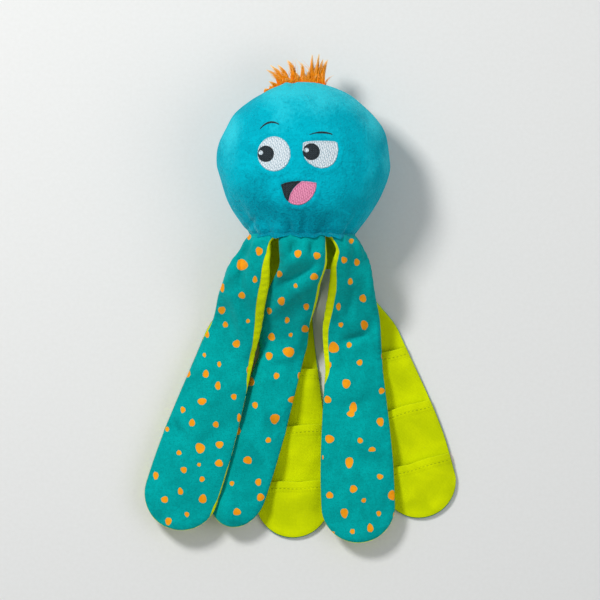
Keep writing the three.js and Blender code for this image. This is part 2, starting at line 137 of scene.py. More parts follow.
@dataclass(frozen=True)
class SoftWaves:
    """The gentle unevenness of stuffed cloth: waves in seeded directions, added up.

    Attributes:
        seed: Start of the draws.
        length: Typical length of a wave.
        height: Typical height of the sum.
        count: Number of waves.
    """

    seed: int
    length: float
    height: float
    count: int = 8

    def at(self, x: Array, y: Array, z: Array | float = 0.0) -> Array:
        """Gives the height of the waves at places in the toy's space."""
        draw = np.random.default_rng(self.seed)
        total = np.zeros(np.shape(x))
        for _ in range(self.count):
            heading = unit(draw.normal(size=3))
            turns = 2.0 * math.pi / (self.length * draw.uniform(0.7, 1.6))
            along = x * heading[0] + y * heading[1] + z * heading[2]
            total = total + np.sin(turns * along + draw.uniform(0.0, 2.0 * math.pi))
        return self.height * total / math.sqrt(self.count)


@dataclass(frozen=True)
class Crease:
    """A fold pressed into cloth or standing out of it, along a straight line seen from above.

    Attributes:
        start: Where it starts, in X and Y.
        end: Where it ends.
        width: Half of its width.
        height: How far it stands out, or in where it is below zero.
    """

    start: Pair
    end: Pair
    width: float
    height: float

    def at(self, x: Array, y: Array) -> Array:
        """Gives the fold's height at places seen from above."""
        run = np.array(self.end) - np.array(self.start)
        length = float(np.hypot(*run))
        share = ((x - self.start[0]) * run[0] + (y - self.start[1]) * run[1]) / length**2
        near = np.clip(share, 0.0, 1.0)
        away = np.hypot(x - self.start[0] - near * run[0], y - self.start[1] - near * run[1])
        taper = 0.35 + 0.65 * np.sin(np.pi * np.clip(near * 0.9 + 0.05, 0.0, 1.0))
        return 1.3 * self.height * taper * bell(away, self.width)


def creased(creases: Sequence[Crease], x: Array, y: Array) -> Array:
    """Adds up the heights of several folds."""
    total = np.zeros(np.shape(x))
    for crease in creases:
        total = total + crease.at(x, y)
    return total


# ---------------------------------------------------------------------------------------------
# Shader nodes
# ---------------------------------------------------------------------------------------------


class Shading:
    """Places and joins the nodes of one tree."""

    def __init__(self, tree: bpy.types.NodeTree) -> None:
        """Starts on an empty or new tree."""
        self.tree = tree

    def add(self, kind: str, **settings: Any) -> Node:
        """Adds a node and sets its own properties."""
        node = self.tree.nodes.new(kind)
        for key, value in settings.items():
            setattr(node, key, value)
        return node

    def feed(self, socket: Socket, value: Any) -> None:
        """Links a socket to another one, or sets its plain value."""
        if isinstance(value, Socket):
            self.tree.links.new(value, socket)
        else:
            socket.default_value = value

    def fill(self, node: Node, **values: Any) -> Node:
        """Feeds a node's inputs by name, with _ for each space, and gives the node."""
        for key, value in values.items():
            self.feed(node.inputs[key.replace("_", " ")], value)
        return node

    def math(self, operation: str, *values: Any) -> Socket:
        """Adds a math node over one to three values."""
        node = self.add("ShaderNodeMath", operation=operation)
        for socket, value in zip(node.inputs, values):
            self.feed(socket, value)
        return node.outputs[0]

    def plus(self, first: Any, second: Any) -> Socket:
        """Adds two values."""
        return self.math("ADD", first, second)

    def less(self, value: Any, taken: Any) -> Socket:
        """Takes one value from another."""
        return self.math("SUBTRACT", value, taken)

    def times(self, first: Any, second: Any) -> Socket:
        """Multiplies two values."""
        return self.math("MULTIPLY", first, second)

    def over(self, value: Any, share: Any) -> Socket:
        """Divides one value by another."""
        return self.math("DIVIDE", value, share)

    def rest(self, value: Any) -> Socket:
        """Gives what is left of one."""
        return self.less(1.0, value)

    def ridges(self, value: Any) -> Socket:
        """Gives round ridges that repeat with each whole number."""
        return self.math("ABSOLUTE", self.math("SINE", self.times(value, math.pi)))

    def parts(self, vector: Any) -> tuple[Socket, Socket]:
        """Gives the first two parts of a vector."""
        node = self.add("ShaderNodeSeparateXYZ")
        self.feed(node.inputs[0], vector)
        return node.outputs[0], node.outputs[1]

    def mix(self, share: Any, first: Any, second: Any) -> Socket:
        """Mixes two colours by a share. A plain colour is a screen colour of 0 to 255."""
        node = self.add("ShaderNodeMix", data_type="RGBA")
        for place, value in ((0, share), (6, first), (7, second)):
            self.feed(node.inputs[place], from_screen(*value) if isinstance(value, tuple) else value)
        return node.outputs[2]

    def span(self, value: Any, low: float, high: float) -> Socket:
        """Maps a value softly from low to high onto 0 to 1."""
        node = self.add("ShaderNodeMapRange", interpolation_type="SMOOTHSTEP")
        return self.fill(node, Value=value, From_Min=low, From_Max=high).outputs[0]

    def noise(self, vector: Any, scale: Any, detail: float = 2.0, twist: float = 0.0) -> Socket:
        """Adds a noise and gives its height."""
        node = self.add("ShaderNodeTexNoise")
        return self.fill(node, Vector=vector, Scale=scale, Detail=detail, Distortion=twist).outputs["Fac"]

    def place(self, vector: Any, scale: Sequence[float], turn: float = 0.0) -> Socket:
        """Stretches and turns coordinates."""
        node = self.add("ShaderNodeMapping")
        return self.fill(node, Vector=vector, Scale=scale, Rotation=(0.0, 0.0, turn)).outputs[0]

    def space(self) -> Socket:
        """Gives the toy's own coordinates in metres."""
        return self.add("ShaderNodeTexCoord").outputs["Object"]

    def cloth(self) -> Socket:
        """Gives the place on the flat pattern in metres."""
        return self.add("ShaderNodeTexCoord").outputs["UV"]

    def attribute(self, name: str) -> Socket:
        """Gives a value that the mesh carries."""
        return self.add("ShaderNodeAttribute", attribute_name=name).outputs["Fac"]

    def look(self, surface: Node, colour: Socket, *bumps: tuple[Socket, float, float]) -> None:
        """Joins a colour and bumps to the surface.

        Args:
            surface: The surface's node.
            colour: Its colour.
            bumps: Height, depth in metres and strength of each bump, the finest first.
        """
        self.feed(surface.inputs["Base Color"], colour)
        before = None
        for height, depth, strength in bumps:
            node = self.fill(self.add("ShaderNodeBump"), Strength=strength, Distance=depth, Height=height)
            if before is not None:
                self.feed(node.inputs["Normal"], before)
            before = node.outputs[0]
            self.feed(surface.inputs["Normal"], before)

    def group(self, effect: SharedEffect, **values: Any) -> list[Socket]:
        """Places a shared effect with its own values and gives what it puts out."""
        return list(self.fill(self.add("ShaderNodeGroup", node_tree=effect.tree()), **values).outputs)


@dataclass(frozen=True)
class SharedEffect:
    """An effect that several finishes use, kept as one node group."""

    name: str
    takes: tuple[tuple[str, str, float], ...]
    gives: tuple[str, ...]
    build: Callable[[Shading, Any], dict[str, Socket]]

    def tree(self) -> bpy.types.NodeTree:
        """Gives the group, which is made on first use."""
        known = bpy.data.node_groups.get(self.name)
        if known is not None:
            return known
        made = bpy.data.node_groups.new(self.name, "ShaderNodeTree")
        for name, kind, value in self.takes:
            socket = made.interface.new_socket(name, in_out="INPUT", socket_type=kind)
            if kind == "NodeSocketFloat":
                socket.default_value = value
        for name in self.gives:
            made.interface.new_socket(name, in_out="OUTPUT", socket_type="NodeSocketFloat")
        shading = Shading(made)
        entry, leave = shading.add("NodeGroupInput"), shading.add("NodeGroupOutput")
        for name, socket in self.build(shading, entry.outputs).items():
            shading.feed(leave.inputs[name], socket)
        return made


def build_nap(shading: Shading, given: Any) -> dict[str, Socket]:
    """Nap of the pile: soft patches where the pile lies another way, short strokes in them, and fine tips."""
    space = shading.space()
    patch = shading.noise(space, given["Patches"], 3.0, 0.8)
    stroke = shading.noise(shading.place(space, (1.0, 0.5, 0.8), 0.5), given["Strokes"], 4.0, 1.6)
    cross = shading.noise(shading.place(space, (0.6, 1.0, 0.8), -0.7), given["Strokes"], 3.0, 1.6)
    tips = shading.noise(space, given["Tips"], 2.0)
    strokes = shading.times(shading.plus(stroke, cross), 0.27)
    mixed = shading.plus(shading.times(patch, 0.46), strokes)
    return {"Lie": shading.span(mixed, 0.38, 0.63), "Tip": tips}


def build_weave(shading: Shading, given: Any) -> dict[str, Socket]:
    """Plain weave on the flat pattern: warp and weft that pass over each other by turns."""
    wobble = shading.times(shading.noise(given["Vector"], 160.0, 1.0), 0.8)
    across, along = (
        shading.plus(shading.over(part, given["Pitch"]), wobble) for part in shading.parts(given["Vector"])
    )
    cells = shading.plus(shading.math("FLOOR", across), shading.math("FLOOR", along))
    turn = shading.math("PINGPONG", cells, 1.0)
    warp, weft = (
        shading.times(shading.ridges(way), shading.plus(0.35, shading.times(high, 0.65)))
        for way, high in ((across, turn), (along, shading.rest(turn)))
    )
    height = shading.math("MAXIMUM", warp, weft)
    slub = shading.noise(shading.place(given["Vector"], (1.0, 0.3, 1.0)), 700.0, 2.0)
    return {"Height": height, "Slub": slub}


def build_stitch(shading: Shading, given: Any) -> dict[str, Socket]:
    """Embroidery fill: threads side by side, with the needle's holes in staggered rows."""
    across, along = shading.parts(given["Vector"])
    thread = shading.over(across, given["Pitch"])
    shift = shading.times(shading.math("FLOOR", thread), 0.37)
    run = shading.plus(shading.over(along, given["Run"]), shift)
    pulse = shading.math("ABSOLUTE", shading.less(shading.math("FRACT", run), 0.5))
    hole = shading.span(pulse, 0.40, 0.49)
    height = shading.times(shading.ridges(thread), shading.rest(hole))
    return {"Height": height, "Hole": hole}


FLOAT, VECTOR = "NodeSocketFloat", "NodeSocketVector"
NAP = SharedEffect(
    "brushed_nap",
    (("Patches", FLOAT, 16.0), ("Strokes", FLOAT, 60.0), ("Tips", FLOAT, 1100.0)),
    ("Lie", "Tip"),
    build_nap,
)
WEAVE = SharedEffect(
    "plain_weave", (("Vector", VECTOR, 0.0), ("Pitch", FLOAT, 0.0009)), ("Height", "Slub"), build_weave
)
STITCH = SharedEffect(
    "embroidery_fill",
    (("Vector", VECTOR, 0.0), ("Pitch", FLOAT, 0.0006), ("Run", FLOAT, 0.003)),
    ("Height", "Hole"),
    build_stitch,
)


@dataclass(frozen=True)
class Finish:
    """A finish of the toy. A kind of finish says in its own paint method how it looks."""

    name: str
    slot: str
    roughness: float = 0.9
    sheen: float = 0.0
    sheen_roughness: float = 0.4
    sheen_tint: tuple[float, float, float, float] = (1.0, 1.0, 1.0, 1.0)
    shine: ClassVar[float] = 0.04

    def paint(self, shading: Shading, surface: Node) -> None:
        """Joins this finish's own nodes to the surface."""
        raise NotImplementedError

    def material(self) -> bpy.types.Material:
        """Gives the material, which is made on first use."""
        known = bpy.data.materials.get(self.name)
        if known is not None:
            return known
        made = bpy.data.materials.new(self.name)
        made.use_nodes = True
        surface = made.node_tree.nodes["Principled BSDF"]
        shading = Shading(made.node_tree)
        shading.fill(surface, Roughness=self.roughness, Specular_IOR_Level=self.shine, Sheen_Weight=self.sheen)
        shading.fill(surface, Sheen_Roughness=self.sheen_roughness, Sheen_Tint=self.sheen_tint)
        self.paint(shading, surface)
        return made


@dataclass(frozen=True)
class Velvet(Finish):
    """Short pile with painted light and shade, partly where the pile lies another way.

    The mesh carries the painted tone: over a half is painted light, below it painted shade.
    """

    # low colours the painted shade and the pits between the tips; pale colours the painted highlight.
    low: Colour = (0, 112, 132)
    deep: Colour = (0, 154, 175)
    light: Colour = (0, 188, 207)
    pale: Colour = (60, 214, 228)
    patches: float = 30.0
    strokes: float = 190.0
    tips: float = 760.0

    def paint(self, shading: Shading, surface: Node) -> None:
        """Mixes the shades by the lie of the pile, adds the painted shade and painted highlight that the mesh carries,
        and lifts the tips.
        """
        lie, tip = shading.group(NAP, Patches=self.patches, Strokes=self.strokes, Tips=self.tips)
        light_and_nap = shading.attribute("light_and_nap")
        calm = shading.plus(0.2, shading.times(lie, 0.6))
        ground = shading.mix(calm, self.deep, self.light)
        # The painted tone that the mesh carries, stirred a little by the nap: low gives painted shade, high a painted
        # highlight.
        down = shading.plus(light_and_nap, shading.times(shading.less(lie, 0.5), 0.16))
        shade = shading.times(shading.rest(shading.span(down, 0.05, 0.5)), 0.85)
        ground = shading.mix(shade, ground, self.low)
        painted_highlight = shading.times(shading.span(down, 0.55, 1.0), 0.75)
        ground = shading.mix(painted_highlight, ground, self.pale)
        grain = shading.times(shading.span(tip, 0.30, 0.70), 0.3)
        ground = shading.mix(grain, ground, self.light)
        pit = shading.times(shading.rest(shading.span(tip, 0.25, 0.5)), 0.32)
        shading.look(surface, shading.mix(pit, ground, self.low), (tip, 0.001, 0.85), (lie, 0.001, 0.45))


@dataclass(frozen=True)
class DottedPlush(Finish):
    """Soft plush with printed dots. The mesh carries how far a place is inside a dot."""

    low: Colour = (0, 122, 120)
    deep: Colour = (0, 153, 150)
    light: Colour = (0, 172, 169)
    dot: Colour = (252, 168, 30)
    dot_shade: Colour = (240, 148, 20)

    def paint(self, shading: Shading, surface: Node) -> None:
        """Prints the dots on a mottled ground."""
        lie, tip = shading.group(NAP, Patches=34.0, Strokes=260.0, Tips=900.0)
        ground = shading.mix(lie, self.deep, self.light)
        grain = shading.times(shading.rest(shading.span(tip, 0.25, 0.55)), 0.5)
        ground = shading.mix(grain, ground, self.low)
        print_colour = shading.mix(lie, self.dot_shade, self.dot)
        ragged = shading.times(shading.less(tip, 0.5), 0.9)
        edge = shading.plus(shading.attribute("dot_edge"), ragged)
        inside = shading.span(edge, -0.1, 0.1)
        shading.look(surface, shading.mix(inside, ground, print_colour), (tip, 0.0006, 0.45))


@dataclass(frozen=True)
class Cotton(Finish):
    """Dyed plain-woven cotton with slubs in its threads."""

    deep: Colour = (202, 219, 0)
    light: Colour = (226, 241, 0)
    pitch: float = 0.0012

    def paint(self, shading: Shading, surface: Node) -> None:
        """Weaves the ground and darkens the gaps between threads."""
        height, slub = shading.group(WEAVE, Vector=shading.cloth(), Pitch=self.pitch)
        fade = shading.noise(shading.space(), 40.0, 3.0, 0.5)
        share = shading.plus(shading.times(slub, 0.12), shading.times(fade, 0.88))
        ground = shading.mix(shading.span(share, 0.3, 0.7), self.deep, self.light)
        gaps = shading.times(shading.rest(height), 0.3)
        dark = tuple(0.78 * part for part in self.deep)
        shading.look(surface, shading.mix(gaps, ground, dark), (height, 0.0003, 0.5), (slub, 0.0002, 0.2))


@dataclass(frozen=True)
class Thread(Finish):
    """Embroidery thread in close rows."""

    colour: Colour = (225, 235, 240)
    gap: Colour = (168, 190, 202)
    pitch: float = 0.0013
    run: float = 0.0026
    turn: float = 0.0
    depth: float = 0.0006
    shine: ClassVar[float] = 0.2

    def paint(self, shading: Shading, surface: Node) -> None:
        """Lays the threads and sinks the needle holes."""
        flat = shading.place(shading.cloth(), (1.0, 1.0, 1.0), self.turn)
        height, _ = shading.group(STITCH, Vector=flat, Pitch=self.pitch, Run=self.run)
        fade = shading.span(shading.noise(shading.cloth(), 620.0, 2.0), 0.3, 0.7)
        dark = shading.times(shading.rest(height), shading.plus(fade, 0.25))
        shading.look(surface, shading.mix(dark, self.colour, self.gap), (height, self.depth, 0.8))


@dataclass(frozen=True)
class LongFur(Finish):
    """Fur strands, darker at the root and pale at the tip."""

    root: Colour = (255, 104, 4)
    middle: Colour = (255, 154, 24)
    tip: Colour = (255, 222, 150)

    def paint(self, shading: Shading, surface: Node) -> None:
        """Shades each strand along its length."""
        along = shading.attribute("along")
        own = shading.times(shading.less(shading.attribute("own_shade"), 0.5), 0.35)
        place = shading.plus(along, own)
        low = shading.mix(shading.span(place, 0.0, 0.42), self.root, self.middle)
        whole = shading.mix(shading.span(place, 0.58, 1.05), low, self.tip)
        mottle = shading.noise(shading.space(), 700.0, 2.0)
        colour = shading.mix(shading.times(mottle, 0.15), whole, self.middle)
        shading.look(surface, colour, (mottle, 0.0003, 0.3))


@dataclass(frozen=True)
class LooseFibre(Finish):
    """Loose or felted white fibre."""

    deep: Colour = (214, 211, 203)
    light: Colour = (246, 245, 241)
    scale: float = 260.0

    def paint(self, shading: Shading, surface: Node) -> None:
        """Draws tangled fibres."""
        tangle = shading.noise(shading.space(), self.scale, 5.0, 2.5)
        colour = shading.mix(shading.span(tangle, 0.35, 0.65), self.deep, self.light)
        shading.look(surface, colour, (tangle, 0.0015, 0.7))


@dataclass(frozen=True)
class Plastic(Finish):
    """Moulded plastic with a faint orange-peel skin."""

    colour: Colour = (240, 240, 234)
    shade: Colour = (214, 214, 206)
    shine: ClassVar[float] = 0.4

    def paint(self, shading: Shading, surface: Node) -> None:
        """Clouds the colour a little and ripples the skin."""
        space = shading.space()
        cloud = shading.mix(shading.noise(space, 60.0), self.shade, self.colour)
        shading.look(surface, cloud, (shading.noise(space, 500.0, 1.0), 0.0002, 0.3))


@dataclass(frozen=True)
class Paper(Finish):
    """Matt paper with a faint tooth, for the studio's floor."""

    deep: Colour = (226, 226, 223)
    light: Colour = (232, 232, 230)
    shine: ClassVar[float] = 0.1

    def paint(self, shading: Shading, surface: Node) -> None:
        """Speckles the paper."""
        shading.look(surface, shading.mix(shading.noise(shading.space(), 300.0), self.deep, self.light))


PALE_SHEEN = (0.55, 0.95, 1.0, 1.0)
LIME_SHEEN = (1.0, 1.0, 0.6, 1.0)
WHITE = (1.0, 1.0, 1.0, 1.0)
HEAD_VELVET = Velvet("head_velvet", "head_plush", 0.9, 0.42, 0.3, (0.25, 0.9, 1.0, 1.0))
LEG_PLUSH = DottedPlush("dotted_plush", "leg_plush", 0.92, 0.12, 0.4, PALE_SHEEN)
LIME_COTTON = Cotton("lime_cotton_weave", "lime_cotton", 0.88, 0.08, 0.5, LIME_SHEEN)
LIME_THREAD = Cotton(
    "lime_sewing_thread", "lime_cotton", 0.7, 0.1, 0.5, LIME_SHEEN, (158, 173, 0), (192, 208, 8), 0.0005
)
PALE_THREAD = Thread(
    "pale_embroidery", "pale_thread", 0.6, 0.1, 0.4, WHITE, (232, 240, 244), (150, 182, 196), 0.0016, 0.0030, 0.2
)
DARK_THREAD = Thread(
    "dark_embroidery", "dark_thread", 0.5, 0.1, 0.4, WHITE, (40, 52, 58), (2, 5, 8), 0.0014, 0.0028, 0.9
)
PINK_THREAD = Thread(
    "pink_embroidery", "pink_thread", 0.6, 0.1, 0.4, WHITE, (248, 158, 192), (204, 96, 140), 0.0016, 0.0026, 0.15
)
ORANGE_FUR = LongFur("orange_long_fur", "orange_fur", 0.7, 1.0, 0.5, (1.0, 0.5, 0.12, 1.0))
FIBRE_FILL = LooseFibre("white_fibre_fill", "fibre_fill", 0.95, 0.3, 0.5)
BATTING = LooseFibre("felted_batting", "batting", 0.95, 0.2, 0.5, WHITE, (208, 206, 198), (238, 236, 230), 420.0)
BELLOWS = Plastic("soft_white_plastic", "bellows_plastic", 0.45)
REED = Plastic("amber_plastic", "reed_plastic", 0.4, 0.0, 0.4, WHITE, (217, 164, 65), (190, 136, 44))
PAPER = Paper("pale_paper", "", 0.95)


# ---------------------------------------------------------------------------------------------
# Meshes
# ---------------------------------------------------------------------------------------------


class Bench:
    """Adds, shapes and finishes meshes with Blender's own tools."""

    @staticmethod
    def pick(piece: Piece) -> None:
        """Makes one piece the only one that an operator acts on."""
        bpy.ops.object.select_all(action="DESELECT")
        piece.select_set(True)
        bpy.context.view_layer.objects.active = piece

    @staticmethod
    def add(name: str, operator: Callable[..., Any], **settings: Any) -> Piece:
        """Adds an object with one of Blender's own operators and names it."""
        bpy.ops.object.select_all(action="DESELECT")
        operator(**settings)
        added = bpy.context.view_layer.objects.active
        added.name = added.data.name = name
        return added

    @staticmethod
    def grid(name: str, columns: int, rows: int) -> tuple[Piece, Array, Array]:
        """Adds a flat grid and gives where its points are across and along, from -1 to 1."""
        piece = Bench.add(
            name, bpy.ops.mesh.primitive_grid_add, x_subdivisions=columns, y_subdivisions=rows, size=2.0
        )
        flat = Bench.places(piece)
        return piece, flat[:, 0], flat[:, 1]

    @staticmethod
    def globe(name: str, around: int, rings: int) -> tuple[Piece, Array]:
        """Adds a ball of radius 1 with its poles on Z and gives its points."""
        piece = Bench.add(name, bpy.ops.mesh.primitive_uv_sphere_add, segments=around, ring_count=rings, radius=1.0)
        return piece, Bench.places(piece)

    @staticmethod
    def places(piece: Piece) -> Array:
        """Reads the places of a piece's points."""
        flat = np.empty(len(piece.data.vertices) * 3)
        piece.data.vertices.foreach_get("co", flat)
        return flat.reshape(-1, 3)

    @staticmethod
    def move(piece: Piece, places: Array) -> None:
        """Writes the places of a piece's points."""
        piece.data.vertices.foreach_set("co", np.ascontiguousarray(places, float).ravel())
        piece.data.update()

    @staticmethod
    def carry(piece: Piece, name: str, values: Array | float) -> None:
        """Lets the mesh carry a value at each point, or one value at all of them."""
        held = piece.data.attributes.new(name, "FLOAT", "POINT")
        each = np.broadcast_to(values, len(piece.data.vertices))
        held.data.foreach_set("value", np.ascontiguousarray(each, np.float32))

    @staticmethod
    def unfold(piece: Piece, x: Array, y: Array) -> None:
        """Writes the place of each point on the flat pattern as the UV map. Both faces take the same places."""
        layer = piece.data.uv_layers.active or piece.data.uv_layers.new(name="pattern")
        flat = np.resize(joined(x, y) * MM, (len(piece.data.vertices), 2))
        corners = np.empty(len(piece.data.loops), np.int32)
        piece.data.loops.foreach_get("vertex_index", corners)
        layer.data.foreach_set("uv", np.ascontiguousarray(flat[corners], np.float32).ravel())

    @staticmethod
    def edit(piece: Piece, work: Callable[[], Any]) -> None:
        """Runs edit-mode work on all of a piece."""
        Bench.pick(piece)
        bpy.ops.object.mode_set(mode="EDIT")
        bpy.ops.mesh.select_all(action="SELECT")
        work()
        bpy.ops.object.mode_set(mode="OBJECT")

    @staticmethod
    def turn_out(piece: Piece) -> None:
        """Turns all faces of a closed piece outward."""
        Bench.edit(piece, lambda: bpy.ops.mesh.normals_make_consistent(inside=False))

    @staticmethod
    def normals(piece: Piece) -> Array:
        """Reads the outward directions at a piece's points."""
        flat = np.empty(len(piece.data.vertices) * 3)
        piece.data.vertices.foreach_get("normal", flat)
        return flat.reshape(-1, 3)

    @staticmethod
    def weld(piece: Piece, within: float = 1e-6) -> None:
        """Merges points that lie on each other and turns all faces out."""

        def work() -> None:
            """Merges and turns what is selected."""
            bpy.ops.mesh.remove_doubles(threshold=within)
            bpy.ops.mesh.normals_make_consistent(inside=False)

        Bench.edit(piece, work)

    @staticmethod
    def cut(piece: Piece, at: Sequence[float], facing: Sequence[float]) -> None:
        """Cuts away what lies on the side that a plane at a point faces, and closes the cut."""
        plane = {"plane_co": at, "plane_no": facing}
        Bench.edit(piece, lambda: bpy.ops.mesh.bisect(**plane, clear_outer=True, use_fill=True, threshold=1e-7))

    @staticmethod
    def finish_with(piece: Piece, kind: str, **settings: Any) -> None:
        """Adds a modifier and applies it."""
        Bench.pick(piece)
        modifier = piece.modifiers.new(kind.lower(), kind)
        for key, value in settings.items():
            setattr(modifier, key, value)
        bpy.ops.object.modifier_apply(modifier=modifier.name)

    @staticmethod
    def face(piece: Piece, outward: Array) -> None:
        """Turns an open sheet so that its faces look outward."""
        if float((Bench.normals(piece) * outward).sum()) < 0.0:
            Bench.edit(piece, bpy.ops.mesh.flip_normals)

    @staticmethod
    def shell(piece: Piece, over: Array, under: Array) -> None:
        """Closes a sheet into a thin body between two sets of places for the same points.

        Args:
            piece: The open sheet.
            over: Places of its outer face, in metres.
            under: Places of its inner face, in metres.
        """
        Bench.move(piece, over)
        Bench.face(piece, over - under)
        Bench.finish_with(piece, "SOLIDIFY", thickness=0.001, offset=-1.0)
        Bench.move(piece, np.concatenate([over, under]))

    @staticmethod
    def smooth(piece: Piece, angle: float = 40.0) -> None:
        """Shades a piece smoothly over edges flatter than an angle in degrees."""
        Bench.pick(piece)
        bpy.ops.object.shade_smooth_by_angle(angle=math.radians(angle))

    @staticmethod
    def dress(piece: Piece, finish: Finish, body: str | None, *nodes: str) -> Piece:
        """Gives a piece its finish and hides the solids it stands for. It rides on body when one is given."""
        piece.data.materials.clear()
        piece.data.materials.append(finish.material())
        if body is not None:
            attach(piece, body)
        if nodes:
            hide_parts(*nodes)
        LOG.info("%s rides on %s with %d faces", piece.name, body or "a blend", len(piece.data.polygons))
        return piece


# ---------------------------------------------------------------------------------------------
# Head
# ---------------------------------------------------------------------------------------------


@dataclass(frozen=True)
class Outline:
    """A closed outline on the face that can be seen whole from its middle.

    Attributes:
        middle: The point that it is drawn round, in X and Y.
        points: Points of the outline, in X and Y.
        rounded: Whether the outline runs smoothly through its points.
    """

    middle: Pair
    points: tuple[Pair, ...]
    rounded: bool = True

    def reach(self, turn: Array) -> Array:
        """Gives the distance from the middle to the outline at angles round it."""
        spots = np.array(self.points) - np.array(self.middle)
        turns = np.arctan2(spots[:, 1], spots[:, 0])
        order = np.argsort(turns)
        turns, spans = turns[order], np.hypot(*spots.T)[order]
        wrapped = np.concatenate([turns - 2 * np.pi, turns, turns + 2 * np.pi])
        wanted = (turn + np.pi) % (2 * np.pi) - np.pi
        if self.rounded:
            return np.interp(wanted, wrapped, np.tile(spans, 3))
        around = np.concatenate([spots[order]] * 3)
        after = np.clip(np.searchsorted(wrapped, wanted), 1, len(wrapped) - 1)
        a, b = around[after - 1], around[after]
        heading = joined(np.cos(wanted), np.sin(wanted))
        top = a[:, 0] * b[:, 1] - a[:, 1] * b[:, 0]
        low = heading[:, 0] * (b[:, 1] - a[:, 1]) - heading[:, 1] * (b[:, 0] - a[:, 0])
        return top / np.where(np.abs(low) < 1e-9, 1e-9, low)

    def outside(self, x: Array, y: Array) -> Array:
        """Gives how far places lie outside the outline, and below zero inside."""
        dx, dy = x - self.middle[0], y - self.middle[1]
        flat_x, flat_y = np.ravel(dx), np.ravel(dy)
        span = self.reach(np.arctan2(flat_y, flat_x))
        return (np.hypot(flat_x, flat_y) - span).reshape(np.shape(dx))


def oval(x: float, y: float, across: float, up: float, square: float = 2.0) -> Outline:
    """Gives an oval outline, squarer where square is over two."""
    turns = np.linspace(-np.pi, np.pi, 96, endpoint=False)
    bend = lambda value: np.sign(value) * np.abs(value) ** (2.0 / square)  # noqa: E731
    spots = zip(x + across * bend(np.cos(turns)), y + up * bend(np.sin(turns)))
    return Outline((x, y), tuple((float(a), float(b)) for a, b in spots))


LEFT_EYE = oval(-25.0, 5.4, 14.7, 15.6)
RIGHT_EYE = Outline(
    (16.4, 4.6),
    (
        (0.9, 15.2), (3, 16.2), (9, 16.9), (16.4, 17.1), (24, 17), (29.6, 16.5), (31.5, 15.2), (32.4, 9.9), (31.9, 5.4),
        (30.2, -0.2), (27.5, -4), (23, -6.8), (17.3, -7.7), (11.7, -6.4), (6.1, -3.2), (2.7, 0.9), (0.9, 5.4),
        (0.4, 9.9),
    ),
    rounded=False,
)
# Runs of the mouth's edge, clockwise from its left corner, which its dark part and the tongue share.
LIP_LEFT = ((-18.9, -22.0), (-14.5, -20.2), (-9.9, -19.3), (-3.6, -18.8))
LIP_RIGHT = (
    (5.4, -19.3), (13, -20.5), (12.9, -23.5), (12, -27.4), (9.6, -32.4), (6.9, -35.6), (4.1, -37.8), (0.2, -39.8),
    (-3.6, -40.3), (-7.2, -39.9), (-9.9, -38.9),
)
LIP_LOW = ((-13.5, -36.4), (-15.4, -33.4), (-16.9, -29.4))
DARK_SIDE = ((-1, -19), (-4.6, -21.6), (-8, -25.4), (-10.6, -29.8), (-12, -34.2), (-12.6, -36.6))
TONGUE_SIDE = ((-12.2, -37.2), (-11.6, -34.2), (-10.1, -29.8), (-7.6, -25.6), (-4.2, -21.8))
MOUTH = Outline((-2, -27.5), LIP_LEFT + LIP_RIGHT + LIP_LOW, rounded=False)
DARK_MOUTH = Outline((-12.2, -25), LIP_LEFT + DARK_SIDE + LIP_LOW, rounded=False)
TONGUE = Outline((2, -28), ((-0.4, -19.1),) + LIP_RIGHT + TONGUE_SIDE, rounded=False)


@dataclass(frozen=True)
class LightAndNapPatch:
    """A patch of painted light and shade on the velvet, partly where the pile lies another way.

    Attributes:
        x: Middle of the patch across the toy.
        y: Middle of it along the toy.
        across: Half of its width.
        along: Half of its length.
        tone: Over zero for painted light, below zero for painted shade.
    """

    x: float
    y: float
    across: float
    along: float
    tone: float


